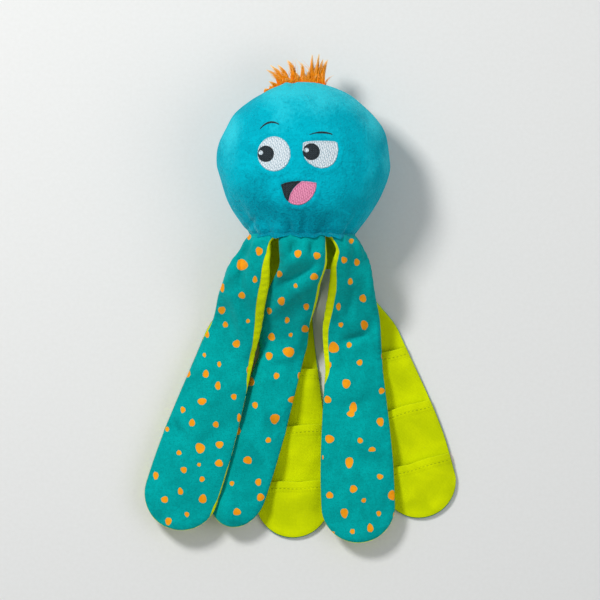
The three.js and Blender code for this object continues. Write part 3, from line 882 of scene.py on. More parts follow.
@dataclass
class HeadBall:
    """The stuffed head: two velvet skins, the filling with its squeaker, and the neck's cloth.

    Attributes:
        half_width: Half of the widest ring across the toy.
        half_thickness: Half of it from face to back.
        crown_height: From the widest ring to the top.
        base_depth: From the widest ring down to the point that the neck cuts off.
        widest_y: Where the widest ring is.
        neck_y: Where the neck is.
        rest_flat: How much the weight flattens the back.
        lopside: How far the ball sits to the right of its neck.
        panel: Thickness of the velvet with its pile.
        width_power: How squarely the width runs down to the neck.
        thickness_power: The same for the thickness.
        thin: Thickness of the velvet at the neck's seam.
        gap: Clearance between two layers.
        seam_gap: How far each velvet half stays back from the side seam.
        hem: Longest tab of velvet that hangs over the legs' tops.
        hem_rows: Rows of faces in it.
        around: Faces round the whole head.
        rings: Rows of faces from crown to neck.
        neck_cloth: Thickness of the round cloth in the neck.
        collar_long: Length of the lime collar.
        lumps: Unevenness of the filling.
        corners: Flat and full places of the outline, as degrees from the crown and height.
        dimples: Small unevenness of the velvet.
        creases: Folds of the face half.
        light_and_nap: Patches of painted light and shade, partly where the pile lies another way.
        squeaker: Radius and place of the bellows' rings.
        reed: The same for the reed's plug.
        hollow: The same for the room that both take.
    """

    half_width: float = 77.4
    half_thickness: float = 56.0
    crown_height: float = 74.5
    base_depth: float = 86.4
    widest_y: float = -4.5
    neck_y: float = -66.0
    rest_flat: float = 1.5
    lopside: float = 1.8
    panel: float = 2.4
    width_power: float = 1.4
    thickness_power: float = 2.4
    thin: float = 0.5
    gap: float = 0.3
    seam_gap: float = 0.12
    hem: float = 4.8
    hem_rows: int = 6
    around: int = 256
    rings: int = 124
    neck_cloth: float = 2.4
    collar_long: float = 31.0
    lumps: SoftWaves = SoftWaves(11, 62.0, 0.7)
    corners: tuple[Pair, ...] = (
        (-52, 1.1), (-28, -0.5), (-80, 0.7), (-104, -0.4), (44, -0.6), (66, 1.3), (84, -0.3), (98, 0.9), (26, -0.5),
        (-118, 0.5),
    )
    dimples: SoftWaves = SoftWaves(23, 24.0, 0.22)
    creases: tuple[Crease, ...] = (
        Crease((-43.5, -52), (-49.5, -63), 2.6, -1.8), Crease((-60, -36), (-50, -55), 5, -0.9),
        Crease((-11, -57.5), (-10.5, -66), 1.8, -1.5), Crease((21.5, -59.5), (29.5, -68), 2.2, -1.6),
        Crease((-31, -42), (-27, -66), 5.5, -1.3), Crease((36, -44), (42, -62), 4.6, -1),
        Crease((4, -50), (7, -66), 4, -0.9), Crease((-55, 2), (-42, -1), 1.7, -0.5),
        Crease((-58, -4), (-44, -5), 1.7, -0.45), Crease((-54, 8), (-43, 4), 1.6, -0.4),
        Crease((-9, 66), (-7, 70), 2.2, -1.2), Crease((-16, 64), (-13, 70), 2.6, 0.9),
        Crease((60, 36), (52, 46), 5, -0.8), Crease((-66, 24), (-56, 36), 5, -0.7),
    )
    # Painted light and shade, partly the pile's own lie: lighter at the top and the rims, darker under the mouth and
    # low on the cheeks.
    light_and_nap: tuple[LightAndNapPatch, ...] = (
        LightAndNapPatch(-6, 66, 34, 9, 0.65), LightAndNapPatch(-22, 52, 12, 9, 0.12), LightAndNapPatch(24, 56, 16, 8, 0.2),
        LightAndNapPatch(-65, 34, 10, 22, 0.42), LightAndNapPatch(-66, 6, 12, 24, 0.2), LightAndNapPatch(66, 36, 9, 18, 0.5),
        LightAndNapPatch(76, 0, 6, 16, 0.4), LightAndNapPatch(50, 50, 16, 10, 0.3), LightAndNapPatch(1, -51, 34, 16, -0.42),
        LightAndNapPatch(-46, -36, 18, 24, -0.34), LightAndNapPatch(44, -34, 20, 20, 0.06), LightAndNapPatch(62, -8, 14, 18, 0.06),
        LightAndNapPatch(-58, -22, 14, 12, -0.12), LightAndNapPatch(2, 46, 40, 14, 0.2), LightAndNapPatch(-2, -8, 14, 12, -0.12),
        LightAndNapPatch(-30, -14, 20, 8, -0.1), LightAndNapPatch(30, -14, 20, 8, -0.1),
    )
    squeaker: tuple[Pair, ...] = (
        (9, -15), (11, -15), (16, -13.6), (19.6, -11.6), (20.9, -10), (19.6, -8.4), (18.6, -5), (19.6, -1.6), (20.9, 0),
        (19.6, 1.6), (18.6, 5), (19.6, 8.4), (20.9, 10), (19.6, 11.6), (16, 13.6), (11, 15), (8.2, 15.2), (8, 16),
        (8, 21),
    )
    reed: tuple[Pair, ...] = ((5, 10.6), (5.5, 11), (5.5, 21.3), (7, 21.4), (7, 22.6), (6.6, 22.8))
    hollow: tuple[Pair, ...] = ((9, -15.8), (21, -15.8), (21, 15.8), (8.4, 15.8), (8.4, 24.4))

    @property
    def middle_z(self) -> float:
        """Height of the head's middle."""
        return self.half_thickness - self.rest_flat

    @property
    def last_tilt(self) -> float:
        """Tilt from the crown at which the neck lies."""
        return math.acos((self.neck_y - self.widest_y) / self.base_depth)

    def section(self, tilt: Array) -> tuple[Array, Array, Array]:
        """Gives Y, half width and half thickness at tilts from the crown."""
        along = np.cos(tilt)
        below = np.clip(-along, 0.0, 1.0)
        up = along >= 0.0
        y = self.widest_y + np.where(up, self.crown_height, self.base_depth) * along
        sine = np.sin(tilt)
        width = np.where(up, sine, np.sqrt(np.maximum(0.0, 1.0 - below**self.width_power)))
        thick = np.where(up, sine, np.sqrt(np.maximum(0.0, 1.0 - below**self.thickness_power)))
        return y, self.half_width * width, self.half_thickness * thick

    def plain(self, tilt: Array, turn: Array) -> Array:
        """Gives points of the smooth ball. turn goes round from the face."""
        y, width, thick = self.section(tilt)
        aside = self.lopside * ease((y - self.neck_y) / (self.widest_y - self.neck_y))
        return joined(aside + width * np.sin(turn), y, self.middle_z + thick * np.cos(turn))

    def normal(self, tilt: Array, turn: Array) -> Array:
        """Gives the outward directions of the smooth ball."""
        step = 1e-4
        held = np.maximum(tilt, 2 * step)
        along = self.plain(held + step, turn) - self.plain(held - step, turn)
        round_it = self.plain(held, turn + step) - self.plain(held, turn - step)
        return unit(np.cross(along, round_it))

    def relief(self, spots: Array, turn: Array) -> Array:
        """Gives how far the velvet stands out of the smooth ball or sinks into it.

        Args:
            spots: Points of the smooth ball.
            turn: Their angles round from the face.

        Returns:
            The heights in millimetres.
        """
        x, y, z = spots[:, 0], spots[:, 1], spots[:, 2]
        high = self.lumps.at(x, y, z) + self.dimples.at(x, y, z)
        around = np.arctan2(x - self.lopside, y - self.widest_y)
        for corner, size in self.corners:
            away = (around - math.radians(corner) + np.pi) % (2 * np.pi) - np.pi
            high = high + size * bell(away, 0.17) * np.sin(turn) ** 2
        low_end = rise(-y, 36.0, 64.0)
        pleats = 15.0 * turn + 1.6 * np.sin(3.0 * turn + 0.5) + 0.9 * np.sin(7.0 * turn)
        high = high - 2.1 * low_end * (0.5 + 0.5 * np.sin(pleats)) ** 2
        seam = np.abs(z - self.middle_z)
        pucker = 1.0 + 0.35 * np.sin(y * 0.9 + 2.0 * np.sin(y * 0.23))
        top = 1.0 - 0.55 * rise(y, 55.0, 68.0)
        high = high - 1.5 * pucker * top * bell(seam, 2.3)
        high = high + 0.6 * bell(seam - 5.0, 2.6)
        front = np.cos(turn) > 0.0
        face = creased(self.creases, x, y) * np.clip(np.cos(turn) * 4.0 + 0.4, 0.0, 1.0)
        for outline in (LEFT_EYE, RIGHT_EYE, MOUTH):
            away = outline.outside(x, y)
            face = face - 0.8 * np.where(front, rise(-away, -1.6, 0.3), 0.0)
            face = face + 0.8 * np.where(front, bell(away - 3.2, 1.6), 0.0)
        back_flat = rise(-np.cos(turn), 0.3, 0.9)
        return np.where(front, high + face, high * (1.0 - 0.8 * back_flat))

    def pile(self, spots: Array, turn: Array) -> Array:
        """Gives the painted light and shade on the velvet, partly the pile's own lie, from 0 for painted shade through
        a half to 1 for painted light.
        """
        x, y = spots[:, 0] / MM, spots[:, 1] / MM
        tone = np.full(len(spots), 0.5)
        facing_up = np.clip(np.cos(turn) * 2.0 + 0.6, 0.0, 1.0)
        for patch in self.light_and_nap:
            away = ((x - patch.x) / patch.across) ** 2 + ((y - patch.y) / patch.along) ** 2
            tone = tone + patch.tone * np.exp(-away) * facing_up
        tone = tone + SoftWaves(71, 30.0, 0.05).at(x, y, spots[:, 2] / MM)
        # Painted shade, darker towards the neck.
        tone = tone - 0.3 * rise(-y, 58.0, 70.0)
        return np.clip(tone, 0.0, 1.0)

    def velvet(self, down: Array, turn: Array, depth: Array | float) -> Array:
        """Gives points of the velvet or of a layer under it, with its hem over the legs' tops.

        Args:
            down: From 0 at the crown to 1 at the neck, and on to 2 at the hem's edge.
            turn: Angle round from the face.
            depth: How far under the velvet's face, along the normal.

        Returns:
            The points in millimetres.
        """
        body = np.minimum(down, 1.0)
        tilt = np.maximum(body, 0.004) * self.last_tilt
        smooth = self.plain(tilt, turn)
        outward = self.normal(tilt, turn)
        spots = smooth + outward * (self.relief(smooth, turn) - depth)[:, None]
        over = np.maximum(down - 1.0, 0.0)
        scallop = 0.7 + 0.16 * np.sin(11.0 * turn + 0.6) + 0.1 * np.sin(26.0 * turn + 1.9)
        fall = over * self.hem * scallop
        flare = FLARE * (1.0 - np.exp(-fall / FLARE_RUN))
        heading = unit(joined(np.sin(turn), np.zeros_like(turn), np.cos(turn)))
        puff = 1.1 * np.sin(np.clip(over, 0.0, 1.0) * 2.4) + 0.3 * np.sin(19.0 * turn + 0.8) * over
        aside = 1.0 - 0.8 * np.abs(np.sin(turn)) ** 4
        hem = heading * ((flare + puff) * aside)[:, None]
        hem[:, 1] -= fall
        spots = spots + np.where((over > 0.0)[:, None], hem, 0.0)
        spots[:, 2] = np.maximum(spots[:, 2], np.where(np.cos(turn) < 0.0, 0.15 + depth * 0.9, -9.0))
        return spots

    def skin(self, name: str, front: bool) -> Piece:
        """Makes one velvet half, with its seam allowance turned in along the side.

        Args:
            name: Name of the piece.
            front: Whether it is the face half.

        Returns:
            The closed skin.
        """
        rows = self.rings + self.hem_rows
        piece, u, v = Bench.grid(name, self.around // 2, rows)
        turn = (u * 0.5 * np.pi) + (0.0 if front else np.pi)
        share = share_of(v) * rows
        down = np.where(share <= self.rings, share / self.rings, 1.0 + (share - self.rings) / self.hem_rows)
        down = np.maximum(down, 0.006)
        over = self.velvet(down, turn, np.zeros(len(turn)))
        thin = mix(self.panel, self.thin, rise(down, 0.94, 0.995))
        thin = np.where(down > 1.0, self.thin + 0.6 * ease(down - 1.0), thin)
        under = self.velvet(down, turn, thin)
        at_seam = np.abs(np.abs(u) - 1.0) < 1e-6
        for layer in (over, under):
            layer[at_seam, 2] += self.seam_gap if front else -self.seam_gap
        Bench.shell(piece, over * MM, under * MM)
        # The velvet carries its painted light and shade, partly the pile's own lie.
        Bench.carry(piece, "light_and_nap", self.pile(Bench.places(piece), np.tile(turn, 2)))
        Bench.weld(piece, 2e-6)
        Bench.smooth(piece, 60.0)
        return piece

    def ball(self, name: str, depth: float, waves: SoftWaves) -> Piece:
        """Makes a closed ball under the velvet, running a little past the neck."""
        piece, flat = Bench.globe(name, 96, 64)
        tilt = np.arccos(np.clip(flat[:, 2], -1.0, 1.0)) / np.pi
        turn = np.arctan2(flat[:, 0], flat[:, 1])
        past_neck = self.neck_y - 5.0
        last = math.acos((past_neck - self.widest_y) / self.base_depth)
        held = np.maximum(tilt * last, 0.01)
        smooth = self.plain(held, turn)
        gathered = 3.2 * rise(-smooth[:, 1], 26.0, 56.0)
        spots = smooth + self.normal(held, turn) * (waves.at(*smooth.T) - depth - gathered)[:, None]
        spots[tilt > 0.9999] = np.array([0.0, past_neck, self.middle_z])
        spots[tilt < 1e-4] = np.array([self.lopside, self.widest_y + self.crown_height - depth, self.middle_z])
        spots[:, 2] = np.maximum(spots[:, 2], self.panel + self.gap)
        Bench.move(piece, spots * MM)
        Bench.weld(piece)
        return piece

    def turned(self, name: str, profile: Sequence[Pair]) -> Piece:
        """Turns a moulded body about a line through the head's middle, with its neck to the legs.

        Args:
            name: Name of the piece.
            profile: Radius and distance towards the neck, one after the other.

        Returns:
            The closed body.
        """
        radius, start = profile[0]
        disc = bpy.ops.mesh.primitive_circle_add
        piece = Bench.add(name, disc, vertices=48, radius=radius * MM, fill_type="NGON")

        def raise_rings() -> None:
            """Draws the body up ring by ring."""
            for (wide, place), (next_wide, next_place) in zip(profile, profile[1:]):
                step = (0, 0, (next_place - place) * MM)
                bpy.ops.mesh.extrude_region_move(TRANSFORM_OT_translate={"value": step})
                bpy.ops.transform.resize(value=(next_wide / wide, next_wide / wide, 1.0))
            bpy.ops.mesh.select_all(action="SELECT")
            bpy.ops.mesh.normals_make_consistent(inside=False)

        Bench.edit(piece, raise_rings)
        x, y, z = Bench.places(piece).T
        Bench.move(piece, joined(x, (self.widest_y - start) * MM - z, self.middle_z * MM + y))
        Bench.smooth(piece, 35.0)
        return piece

    def collar(self) -> Piece:
        """Makes the short lime collar inside the legs' tops, which shows as dark cloth between them."""
        columns, rows = 160, 12
        piece, u, v = Bench.grid("lime_neck_collar", columns, rows)
        turn, share = np.pi + u * 0.62 * np.pi, share_of(v)
        layers = []
        for depth in (9.6, 10.2):
            s = share * self.collar_long
            _, width, thick = self.section(np.array(self.last_tilt))
            spread = 1.0 - np.exp(-s / FLARE_RUN)
            ripple = 0.6 * np.sin(17.0 * turn) * share
            wide = width - depth + FLARE * spread + ripple
            deep = thick - depth + FLARE_UP * spread + ripple
            fall = ease(s / DROP)
            z = mix(self.middle_z + deep * np.cos(turn), depth - 1.1, fall)
            layers.append(joined(wide * np.sin(turn), self.neck_y - self.gap - s, z))
        Bench.shell(piece, layers[0] * MM, layers[1] * MM)
        Bench.unfold(piece, turn * 40.0, share * self.collar_long)
        Bench.weld(piece, 2e-6)
        Bench.smooth(piece, 60.0)
        return Bench.dress(piece, LIME_COTTON, "head")

    def filling(self, name: str, front: bool) -> Piece:
        """Makes one half of the filling, with a hollow for the squeaker."""
        waves = SoftWaves(31 if front else 37, 20.0, 0.25)
        piece = self.ball(name, self.panel + self.gap + 0.7, waves)
        seam = (self.middle_z + (0.15 if front else -0.15)) * MM
        low = (self.neck_y + self.neck_cloth + self.gap) * MM
        Bench.cut(piece, (0, low, 0), (0, -1, 0))
        Bench.cut(piece, (0, 0, seam), (0, 0, -1 if front else 1))
        hollow = self.turned("squeaker_hollow", [(radius + 0.6, place) for radius, place in self.hollow])
        Bench.finish_with(piece, "BOOLEAN", operation="DIFFERENCE", object=hollow, solver="EXACT")
        bpy.data.objects.remove(hollow)
        Bench.smooth(piece, 45.0)
        return piece

    def build(self) -> Piece:
        """Makes the head's pieces and gives the face skin, which the embroidery sits on."""
        front = self.skin("velvet_face_half", True)
        Bench.dress(front, HEAD_VELVET, "head", "head_front_panel")
        back = self.skin("velvet_back_half", False)
        Bench.dress(back, HEAD_VELVET, "head", "head_back_panel")
        for side, is_front in (("front", True), ("back", False)):
            part = self.filling(f"fibre_filling_{side}", is_front)
            Bench.dress(part, FIBRE_FILL, "head", f"stuffing_{side}")
        disc = self.ball("neck_cloth_round", self.panel + self.gap + 0.5, SoftWaves(5, 14.0, 0.1))
        Bench.cut(disc, (0, (self.neck_y + self.neck_cloth) * MM, 0), (0, 1, 0))
        Bench.cut(disc, (0, self.neck_y * MM, 0), (0, -1, 0))
        # The neck's round gets a little painted shade.
        Bench.carry(disc, "light_and_nap", 0.35)
        Bench.finish_with(disc, "BEVEL", width=0.0005, segments=2, angle_limit=0.8)
        Bench.smooth(disc, 50.0)
        Bench.dress(disc, HEAD_VELVET, "head", "neck_disc")
        self.collar()
        Bench.dress(self.turned("squeaker_bellows", self.squeaker), BELLOWS, "head", "squeaker_bulb")
        Bench.dress(self.turned("squeaker_reed_plug", self.reed), REED, "head", "squeaker_reed")
        return front


@dataclass
class Embroidery:
    """The face: eyes, brows and mouth sewn into the velvet.

    Attributes:
        skin: The velvet that the thread lies on.
        relief: How far a patch stands out.
        edge: Width of the raised border.
    """

    skin: Piece
    relief: float = 0.85
    edge: float = 1.0

    def __post_init__(self) -> None:
        """Makes the skin ready to be asked for its height."""
        graph = bpy.context.evaluated_depsgraph_get()
        self.ground = BVHTree.FromObject(self.skin, graph)

    def settle(self, x: Array, y: Array, lift: Array) -> Array:
        """Lays places seen from above onto the velvet.

        Args:
            x: Places across the toy.
            y: Places along it.
            lift: How far above the velvet.

        Returns:
            The points in metres.
        """
        spots = np.empty((len(x), 3))
        for i, (across, along, high) in enumerate(zip(x, y, lift)):
            hit, normal, _, _ = self.ground.ray_cast(Vector((across * MM, along * MM, 0.3)), Vector((0, 0, -1)))
            spots[i] = hit + normal * (high * MM)
        return spots

    def patch(self, name: str, outline: Outline, step: float, finish: Finish, node: str) -> Piece:
        """Makes one filled patch with a raised satin border.

        Args:
            name: Name of the piece.
            outline: Its outline on the face.
            step: How much further out it lies than the patch round it.
            finish: Its thread.
            node: The solid that it stands for.

        Returns:
            The closed patch.
        """
        piece, u, v = Bench.grid(name, 72, 72)
        share = np.maximum(np.abs(u), np.abs(v))
        beside = np.abs(u) > np.abs(v)
        straight = np.where(beside, v, u) / np.maximum(share, 1e-9) * np.pi / 4.0
        base = np.where(beside, np.where(u > 0, 0.0, np.pi), np.where(v > 0, np.pi / 2, -np.pi / 2))
        turn = base + straight * np.where(beside, np.sign(u), -np.sign(v))
        share = np.sin(share * np.pi / 2.0) * 0.6 + share * 0.4
        reach = outline.reach(turn)
        x = outline.middle[0] + np.cos(turn) * reach * share
        y = outline.middle[1] + np.sin(turn) * reach * share
        inward = (1.0 - share) * reach
        border = 0.42 * bell(inward - self.edge * 0.6, self.edge * 0.45)
        border = border - 0.25 * bell(inward - self.edge * 1.9, self.edge * 0.5)
        dome = (self.relief + step) * np.sqrt(np.clip(1.0 - (1.0 - np.clip(inward / 1.1, 0, 1)) ** 2, 0.02, 1.0))
        over = self.settle(x, y, dome + border)
        under = self.settle(x, y, np.full(len(x), -0.6))
        Bench.shell(piece, over, under)
        Bench.unfold(piece, x, y)
        Bench.smooth(piece, 55.0)
        return Bench.dress(piece, finish, "head", node)

    def line(self, name: str, points: Sequence[Pair], widths: Sequence[float], node: str) -> Piece:
        """Makes a sewn line of satin stitches that thins out at its ends."""
        piece, u, v = Bench.grid(name, 8, 48)
        share = share_of(v)
        marks = np.linspace(0.0, 1.0, len(points))
        path = np.array(points)
        curve = [np.polyfit(marks, path[:, axis], min(3, len(points) - 1)) for axis in (0, 1)]
        x, y = (np.polyval(curve[axis], share) for axis in (0, 1))
        dx, dy = (np.polyval(np.polyder(curve[axis]), share) for axis in (0, 1))
        size = np.hypot(dx, dy)
        half = np.interp(share, np.linspace(0, 1, len(widths)), widths) / 2.0
        x, y = x - dy / size * half * u, y + dx / size * half * u
        lift = 0.75 * np.sqrt(np.clip(1.0 - u**2, 0.02, 1.0))
        Bench.shell(piece, self.settle(x, y, lift), self.settle(x, y, np.full(len(x), -0.5)))
        Bench.unfold(piece, x, y)
        Bench.smooth(piece, 55.0)
        return Bench.dress(piece, DARK_THREAD, "head", node)

    def build(self) -> None:
        """Sews the whole face."""
        for name, outline, step, finish, node in (
            ("left_eye_patch", LEFT_EYE, 0.0, PALE_THREAD, "left_eye_white"),
            ("right_eye_patch", RIGHT_EYE, 0.0, PALE_THREAD, "right_eye_white"),
            ("left_pupil_patch", oval(-32.1, 5.4, 7.5, 7.5), 0.35, DARK_THREAD, "left_pupil"),
            ("right_pupil_patch", oval(8.3, 7.2, 7.7, 7.7), 0.35, DARK_THREAD, "right_pupil"),
            ("left_glint_patch", oval(-36.4, 6.3, 2.3, 2.3), 0.7, PALE_THREAD, "left_eye_glint"),
            ("right_glint_patch", oval(4.1, 8.5, 2.3, 2.3), 0.7, PALE_THREAD, "right_eye_glint"),
            ("dark_mouth_patch", DARK_MOUTH, 0.0, DARK_THREAD, "mouth"),
            ("tongue_patch", TONGUE, 0.05, PINK_THREAD, "tongue"),
        ):
            self.patch(name, outline, step, finish, node)
        left = ((-37.5, 27.5), (-33.4, 31.6), (-27.6, 33.8), (-20.7, 31.8))
        self.line("left_brow_line", left, (0.3, 1.0, 1.7, 1.6, 0.9), "left_brow")
        right = ((6.8, 22.4), (13.0, 24.2), (20.0, 24.4), (26.8, 22.9))
        self.line("right_brow_line", right, (0.3, 0.9, 1.8, 1.7, 0.9), "right_brow")


@dataclass(frozen=True)
class Lock:
    """A lock of fur whose strands run together to a tip.

    Attributes:
        root: X of its root on the seam.
        tip: Where it ends, in X and Y.
        width: Width of its root.
        strands: Number of strands.
        bow: How far its middle swings out to the side.
    """

    root: float
    tip: Pair
    width: float
    strands: int
    bow: float = 0.0


@dataclass
class FurTuft:
    """The tuft sewn in behind the top seam: a backing strip with seeded strands in locks.

    Attributes:
        head: The head that it is sewn to.
        seed: Start of its draws.
        sides: Sides of a strand.
        joints: Points along a strand.
        thick: Typical radius of a strand.
        taper: Share of that radius at each of its points.
        lit_from: The direction that the strands' shading leans to.
        locks: The locks that it falls into.
    """

    head: HeadBall
    seed: int = 8
    sides: int = 3
    joints: int = 6
    thick: float = 0.27
    taper: tuple[float, ...] = (1.0, 0.92, 0.76, 0.56, 0.32, 0.05)
    lit_from: tuple[float, float, float] = (-0.2, 0.35, 0.9)
    locks: tuple[Lock, ...] = (
        Lock(-31, (-36, 57.5), 6, 90, -0.5), Lock(-27, (-32, 63.5), 7, 120, -0.5), Lock(-23, (-29.9, 71.5), 5, 110, -1),
        Lock(-19.5, (-32, 82), 4, 120, -2.4), Lock(-18, (-28.4, 86.2), 4, 120, -2.4),
        Lock(-16.5, (-25.4, 78.6), 5, 90, -1.6), Lock(-15, (-22.2, 86.6), 4, 130, -2.6),
        Lock(-12.5, (-17.6, 79.5), 6, 90, -1), Lock(-8.5, (-13.4, 90.8), 4.2, 150, -2.8),
        Lock(-7, (-10, 84.6), 4, 100, -1.6), Lock(-4, (-5.8, 80), 6, 90, -1), Lock(-1, (-0.5, 88.2), 4, 140, -1.6),
        Lock(2, (1.6, 79.8), 6, 100, -0.6), Lock(5.5, (5.2, 80.6), 6, 100, 0), Lock(8, (6.4, 85), 4, 90, 0.4),
        Lock(10, (9.2, 95.6), 3.8, 160, 0.9), Lock(12, (12.2, 86.4), 4, 110, 0.9), Lock(14, (15.4, 96.2), 3.8, 160, 1),
        Lock(16, (18.9, 91.6), 3.8, 140, 1.4), Lock(18.5, (23, 91), 3.6, 140, 1.8), Lock(19, (20, 83), 4, 90, 0.8),
        Lock(0, (-2, 77), 32, 300, 0), Lock(-12, (-16, 74), 22, 260, -0.8), Lock(13, (14.6, 78), 14, 260, 0.6),
        Lock(20, (29, 77), 2, 5, 1.2), Lock(-2, (-6, 92.5), 34, 16, -2), Lock(12, (16, 96.5), 18, 12, 1),
        Lock(-31, (-33.2, 65), 6, 170, 0), Lock(-26.5, (-28.8, 68), 6, 170, 0),
    )

    def crown(self, x: Array, z: Array) -> Array:
        """Gives Y of the head's top at places across and up."""
        head = self.head
        flat = 1.0 - ((x - head.lopside) / head.half_width) ** 2 - ((z - head.middle_z) / head.half_thickness) ** 2
        return head.widest_y + head.crown_height * np.sqrt(np.maximum(flat, 0.0))

    def strands(self) -> tuple[Array, Array]:
        """Draws the middle lines of all strands.

        Returns:
            The lines, each with its points from root to tip, and each strand's thickness.
        """
        draw = np.random.default_rng(self.seed)
        lines, sizes = [], []
        for lock in self.locks:
            count = lock.strands
            aside = draw.normal(0.0, 0.34, count).clip(-0.5, 0.5)
            root_x = lock.root + aside * lock.width
            root_z = self.head.middle_z - 1.6 - draw.uniform(0.0, 8.5, count)
            root = joined(root_x, self.crown(root_x, root_z) - 0.4, root_z)
            spread = 0.04 + 0.5 * draw.random(count) ** 5
            tip_x = lock.tip[0] + aside * lock.width * spread + draw.normal(0.0, 0.22, count)
            short = 1.0 - 0.55 * draw.random(count) ** 1.6
            fan = 0.35 * (root_z - self.head.middle_z + 5.8) + draw.normal(0.0, 1.2, count)
            tip = np.stack([tip_x, np.full(count, lock.tip[1]), root_z + fan], axis=-1)
            tip = root + (tip - root) * short[:, None]
            steps = np.linspace(0.0, 1.0, self.joints)[None, :, None]
            line = root[:, None, :] * (1 - steps) + tip[:, None, :] * steps
            swing = np.sin(np.pi * steps[..., 0]) * (-lock.bow) * draw.uniform(0.5, 1.3, count)[:, None]
            line[..., 0] += swing
            line[..., 1] += np.sin(np.pi * steps[..., 0]) * 1.2 * abs(lock.bow)
            line[..., 2] += np.sin(np.pi * steps[..., 0]) * draw.normal(0.6, 0.8, count)[:, None]
            lines.append(line)
            sizes.append(self.thick * draw.uniform(0.65, 1.25, count))
        return np.concatenate(lines), np.concatenate(sizes)

    def build(self) -> Piece:
        """Makes the tuft as one piece. Its strands share most of their shading normal, as soft fur does."""
        lines, sizes = self.strands()
        along = unit(np.gradient(lines, axis=1))
        first = unit(np.cross(along, np.array([0.0, 0.0, 1.0])))
        second = np.cross(along, first)
        angles = np.arange(self.sides) / self.sides * 2 * np.pi
        radii = (sizes[:, None] * np.array(self.taper))[..., None]
        rings = [lines + (first * math.cos(angle) + second * math.sin(angle)) * radii for angle in angles]
        spots = np.stack(rings, axis=2)
        count, per = len(lines), self.joints * self.sides
        faces = []
        for row in range(0, per - self.sides, self.sides):
            for side in range(self.sides):
                a, b = row + side, row + (side + 1) % self.sides
                faces.append((a, a + self.sides, b + self.sides, b))
        all_faces = (np.arange(count)[:, None, None] * per + np.array(faces)[None]).reshape(-1, 4)
        caps = [tuple(range(self.sides)), tuple(range(per - 1, per - 1 - self.sides, -1))]
        ends = [tuple(strand * per + point for point in cap) for strand in range(count) for cap in caps]
        mesh = bpy.data.meshes.new("fur_tuft")
        mesh.from_pydata((spots.reshape(-1, 3) * MM).tolist(), [], all_faces.tolist() + ends)
        piece = bpy.data.objects.new("fur_tuft", mesh)
        bpy.context.collection.objects.link(piece)
        shares = np.tile(np.repeat(np.linspace(0.0, 1.0, self.joints), self.sides), count)
        strip = self.strip()
        Bench.turn_out(piece)
        Bench.carry(piece, "along", shares)
        own = np.random.default_rng(self.seed + 1).random(count)
        Bench.carry(piece, "own_shade", np.repeat(own, per))
        Bench.carry(strip, "along", 0.1)
        Bench.carry(strip, "own_shade", 0.5)
        Bench.pick(piece)
        strip.select_set(True)
        bpy.ops.object.join()
        Bench.smooth(piece, 70.0)
        shared = unit(0.25 * Bench.normals(piece) + 0.75 * np.array(self.lit_from))
        piece.data.normals_split_custom_set_from_vertices(shared.tolist())
        return Bench.dress(piece, ORANGE_FUR, "head", "hair_tuft")

    def strip(self) -> Piece:
        """Makes the strip of cloth that the fur grows from, laid over the back of the crown."""
        piece, u, v = Bench.grid("fur_backing", 60, 14)
        x = mix(-34.0, 21.0, share_of(u))
        narrow = 0.75 + 0.25 * np.sqrt(np.maximum(1.0 - u**2, 0.0))
        z = self.head.middle_z - 6.0 + 4.6 * narrow * v
        y = self.crown(x, z)
        wave = SoftWaves(3, 9.0, 0.25).at(x, y, z)
        low, high = joined(x, y + 0.1, z), joined(x, y + 1.6 + wave, z)
        Bench.shell(piece, high * MM, low * MM)
        return piece


# ---------------------------------------------------------------------------------------------
# Legs
# ---------------------------------------------------------------------------------------------


class Facing(Enum):
    """Which face of a leg is turned to the camera."""

    DOTTED = "dotted plush up"
    LIME = "lime lining up"


@dataclass(frozen=True)
class LegPattern:
    """Sizes that all six legs share, as they were cut and sewn."""

    length: float = 272.0
    half_width: float = 33.5
    top_half_width: float = 22.0
    widen_from: float = 40.0
    widen_to: float = 225.0
    outer: float = 1.2
    lining: float = 0.6
    roll_run: float = 5.5
    roll_share: float = 0.46
    pad_at_neck: float = 3.6
    pad_at_tip: float = 1.2
    lining_depth: float = 3.6
    upper_level: float = 22.1
    half_arc: float = 28.0
    inset: float = 0.8
    rear_pinch: float = 0.14
    pocket_depth: float = 50.5
    gape: float = 6.2
    cloth: float = 0.6
    hem: float = 6.5
    stitch_pitch: float = 3.6
    stitch_long: float = 2.3
    stitch_thick: float = 0.45
    stitch_high: float = 0.3
    stitch_reach: float = 0.93
    stitch_inset: float = 0.9
    rows: int = 214
    columns: int = 54


@dataclass(frozen=True)
class Bow:
    """How one margin of a leg swings to the side on its way from the neck.

    Attributes:
        size: How far it swings to the right.
        start: Distance from the neck where it starts.
        full: Where it is full.
        hold: Where it starts to end.
        end: Where it has ended.
    """

    size: float = 0.0
    start: float = 0.0
    full: float = 27.2
    hold: float = 54.4
    end: float = 81.6

    def at(self, s: Array) -> Array:
        """Gives the swing at distances from the neck."""
        return self.size * rise(s, self.start, self.full) * (1.0 - rise(s, self.hold, self.end))


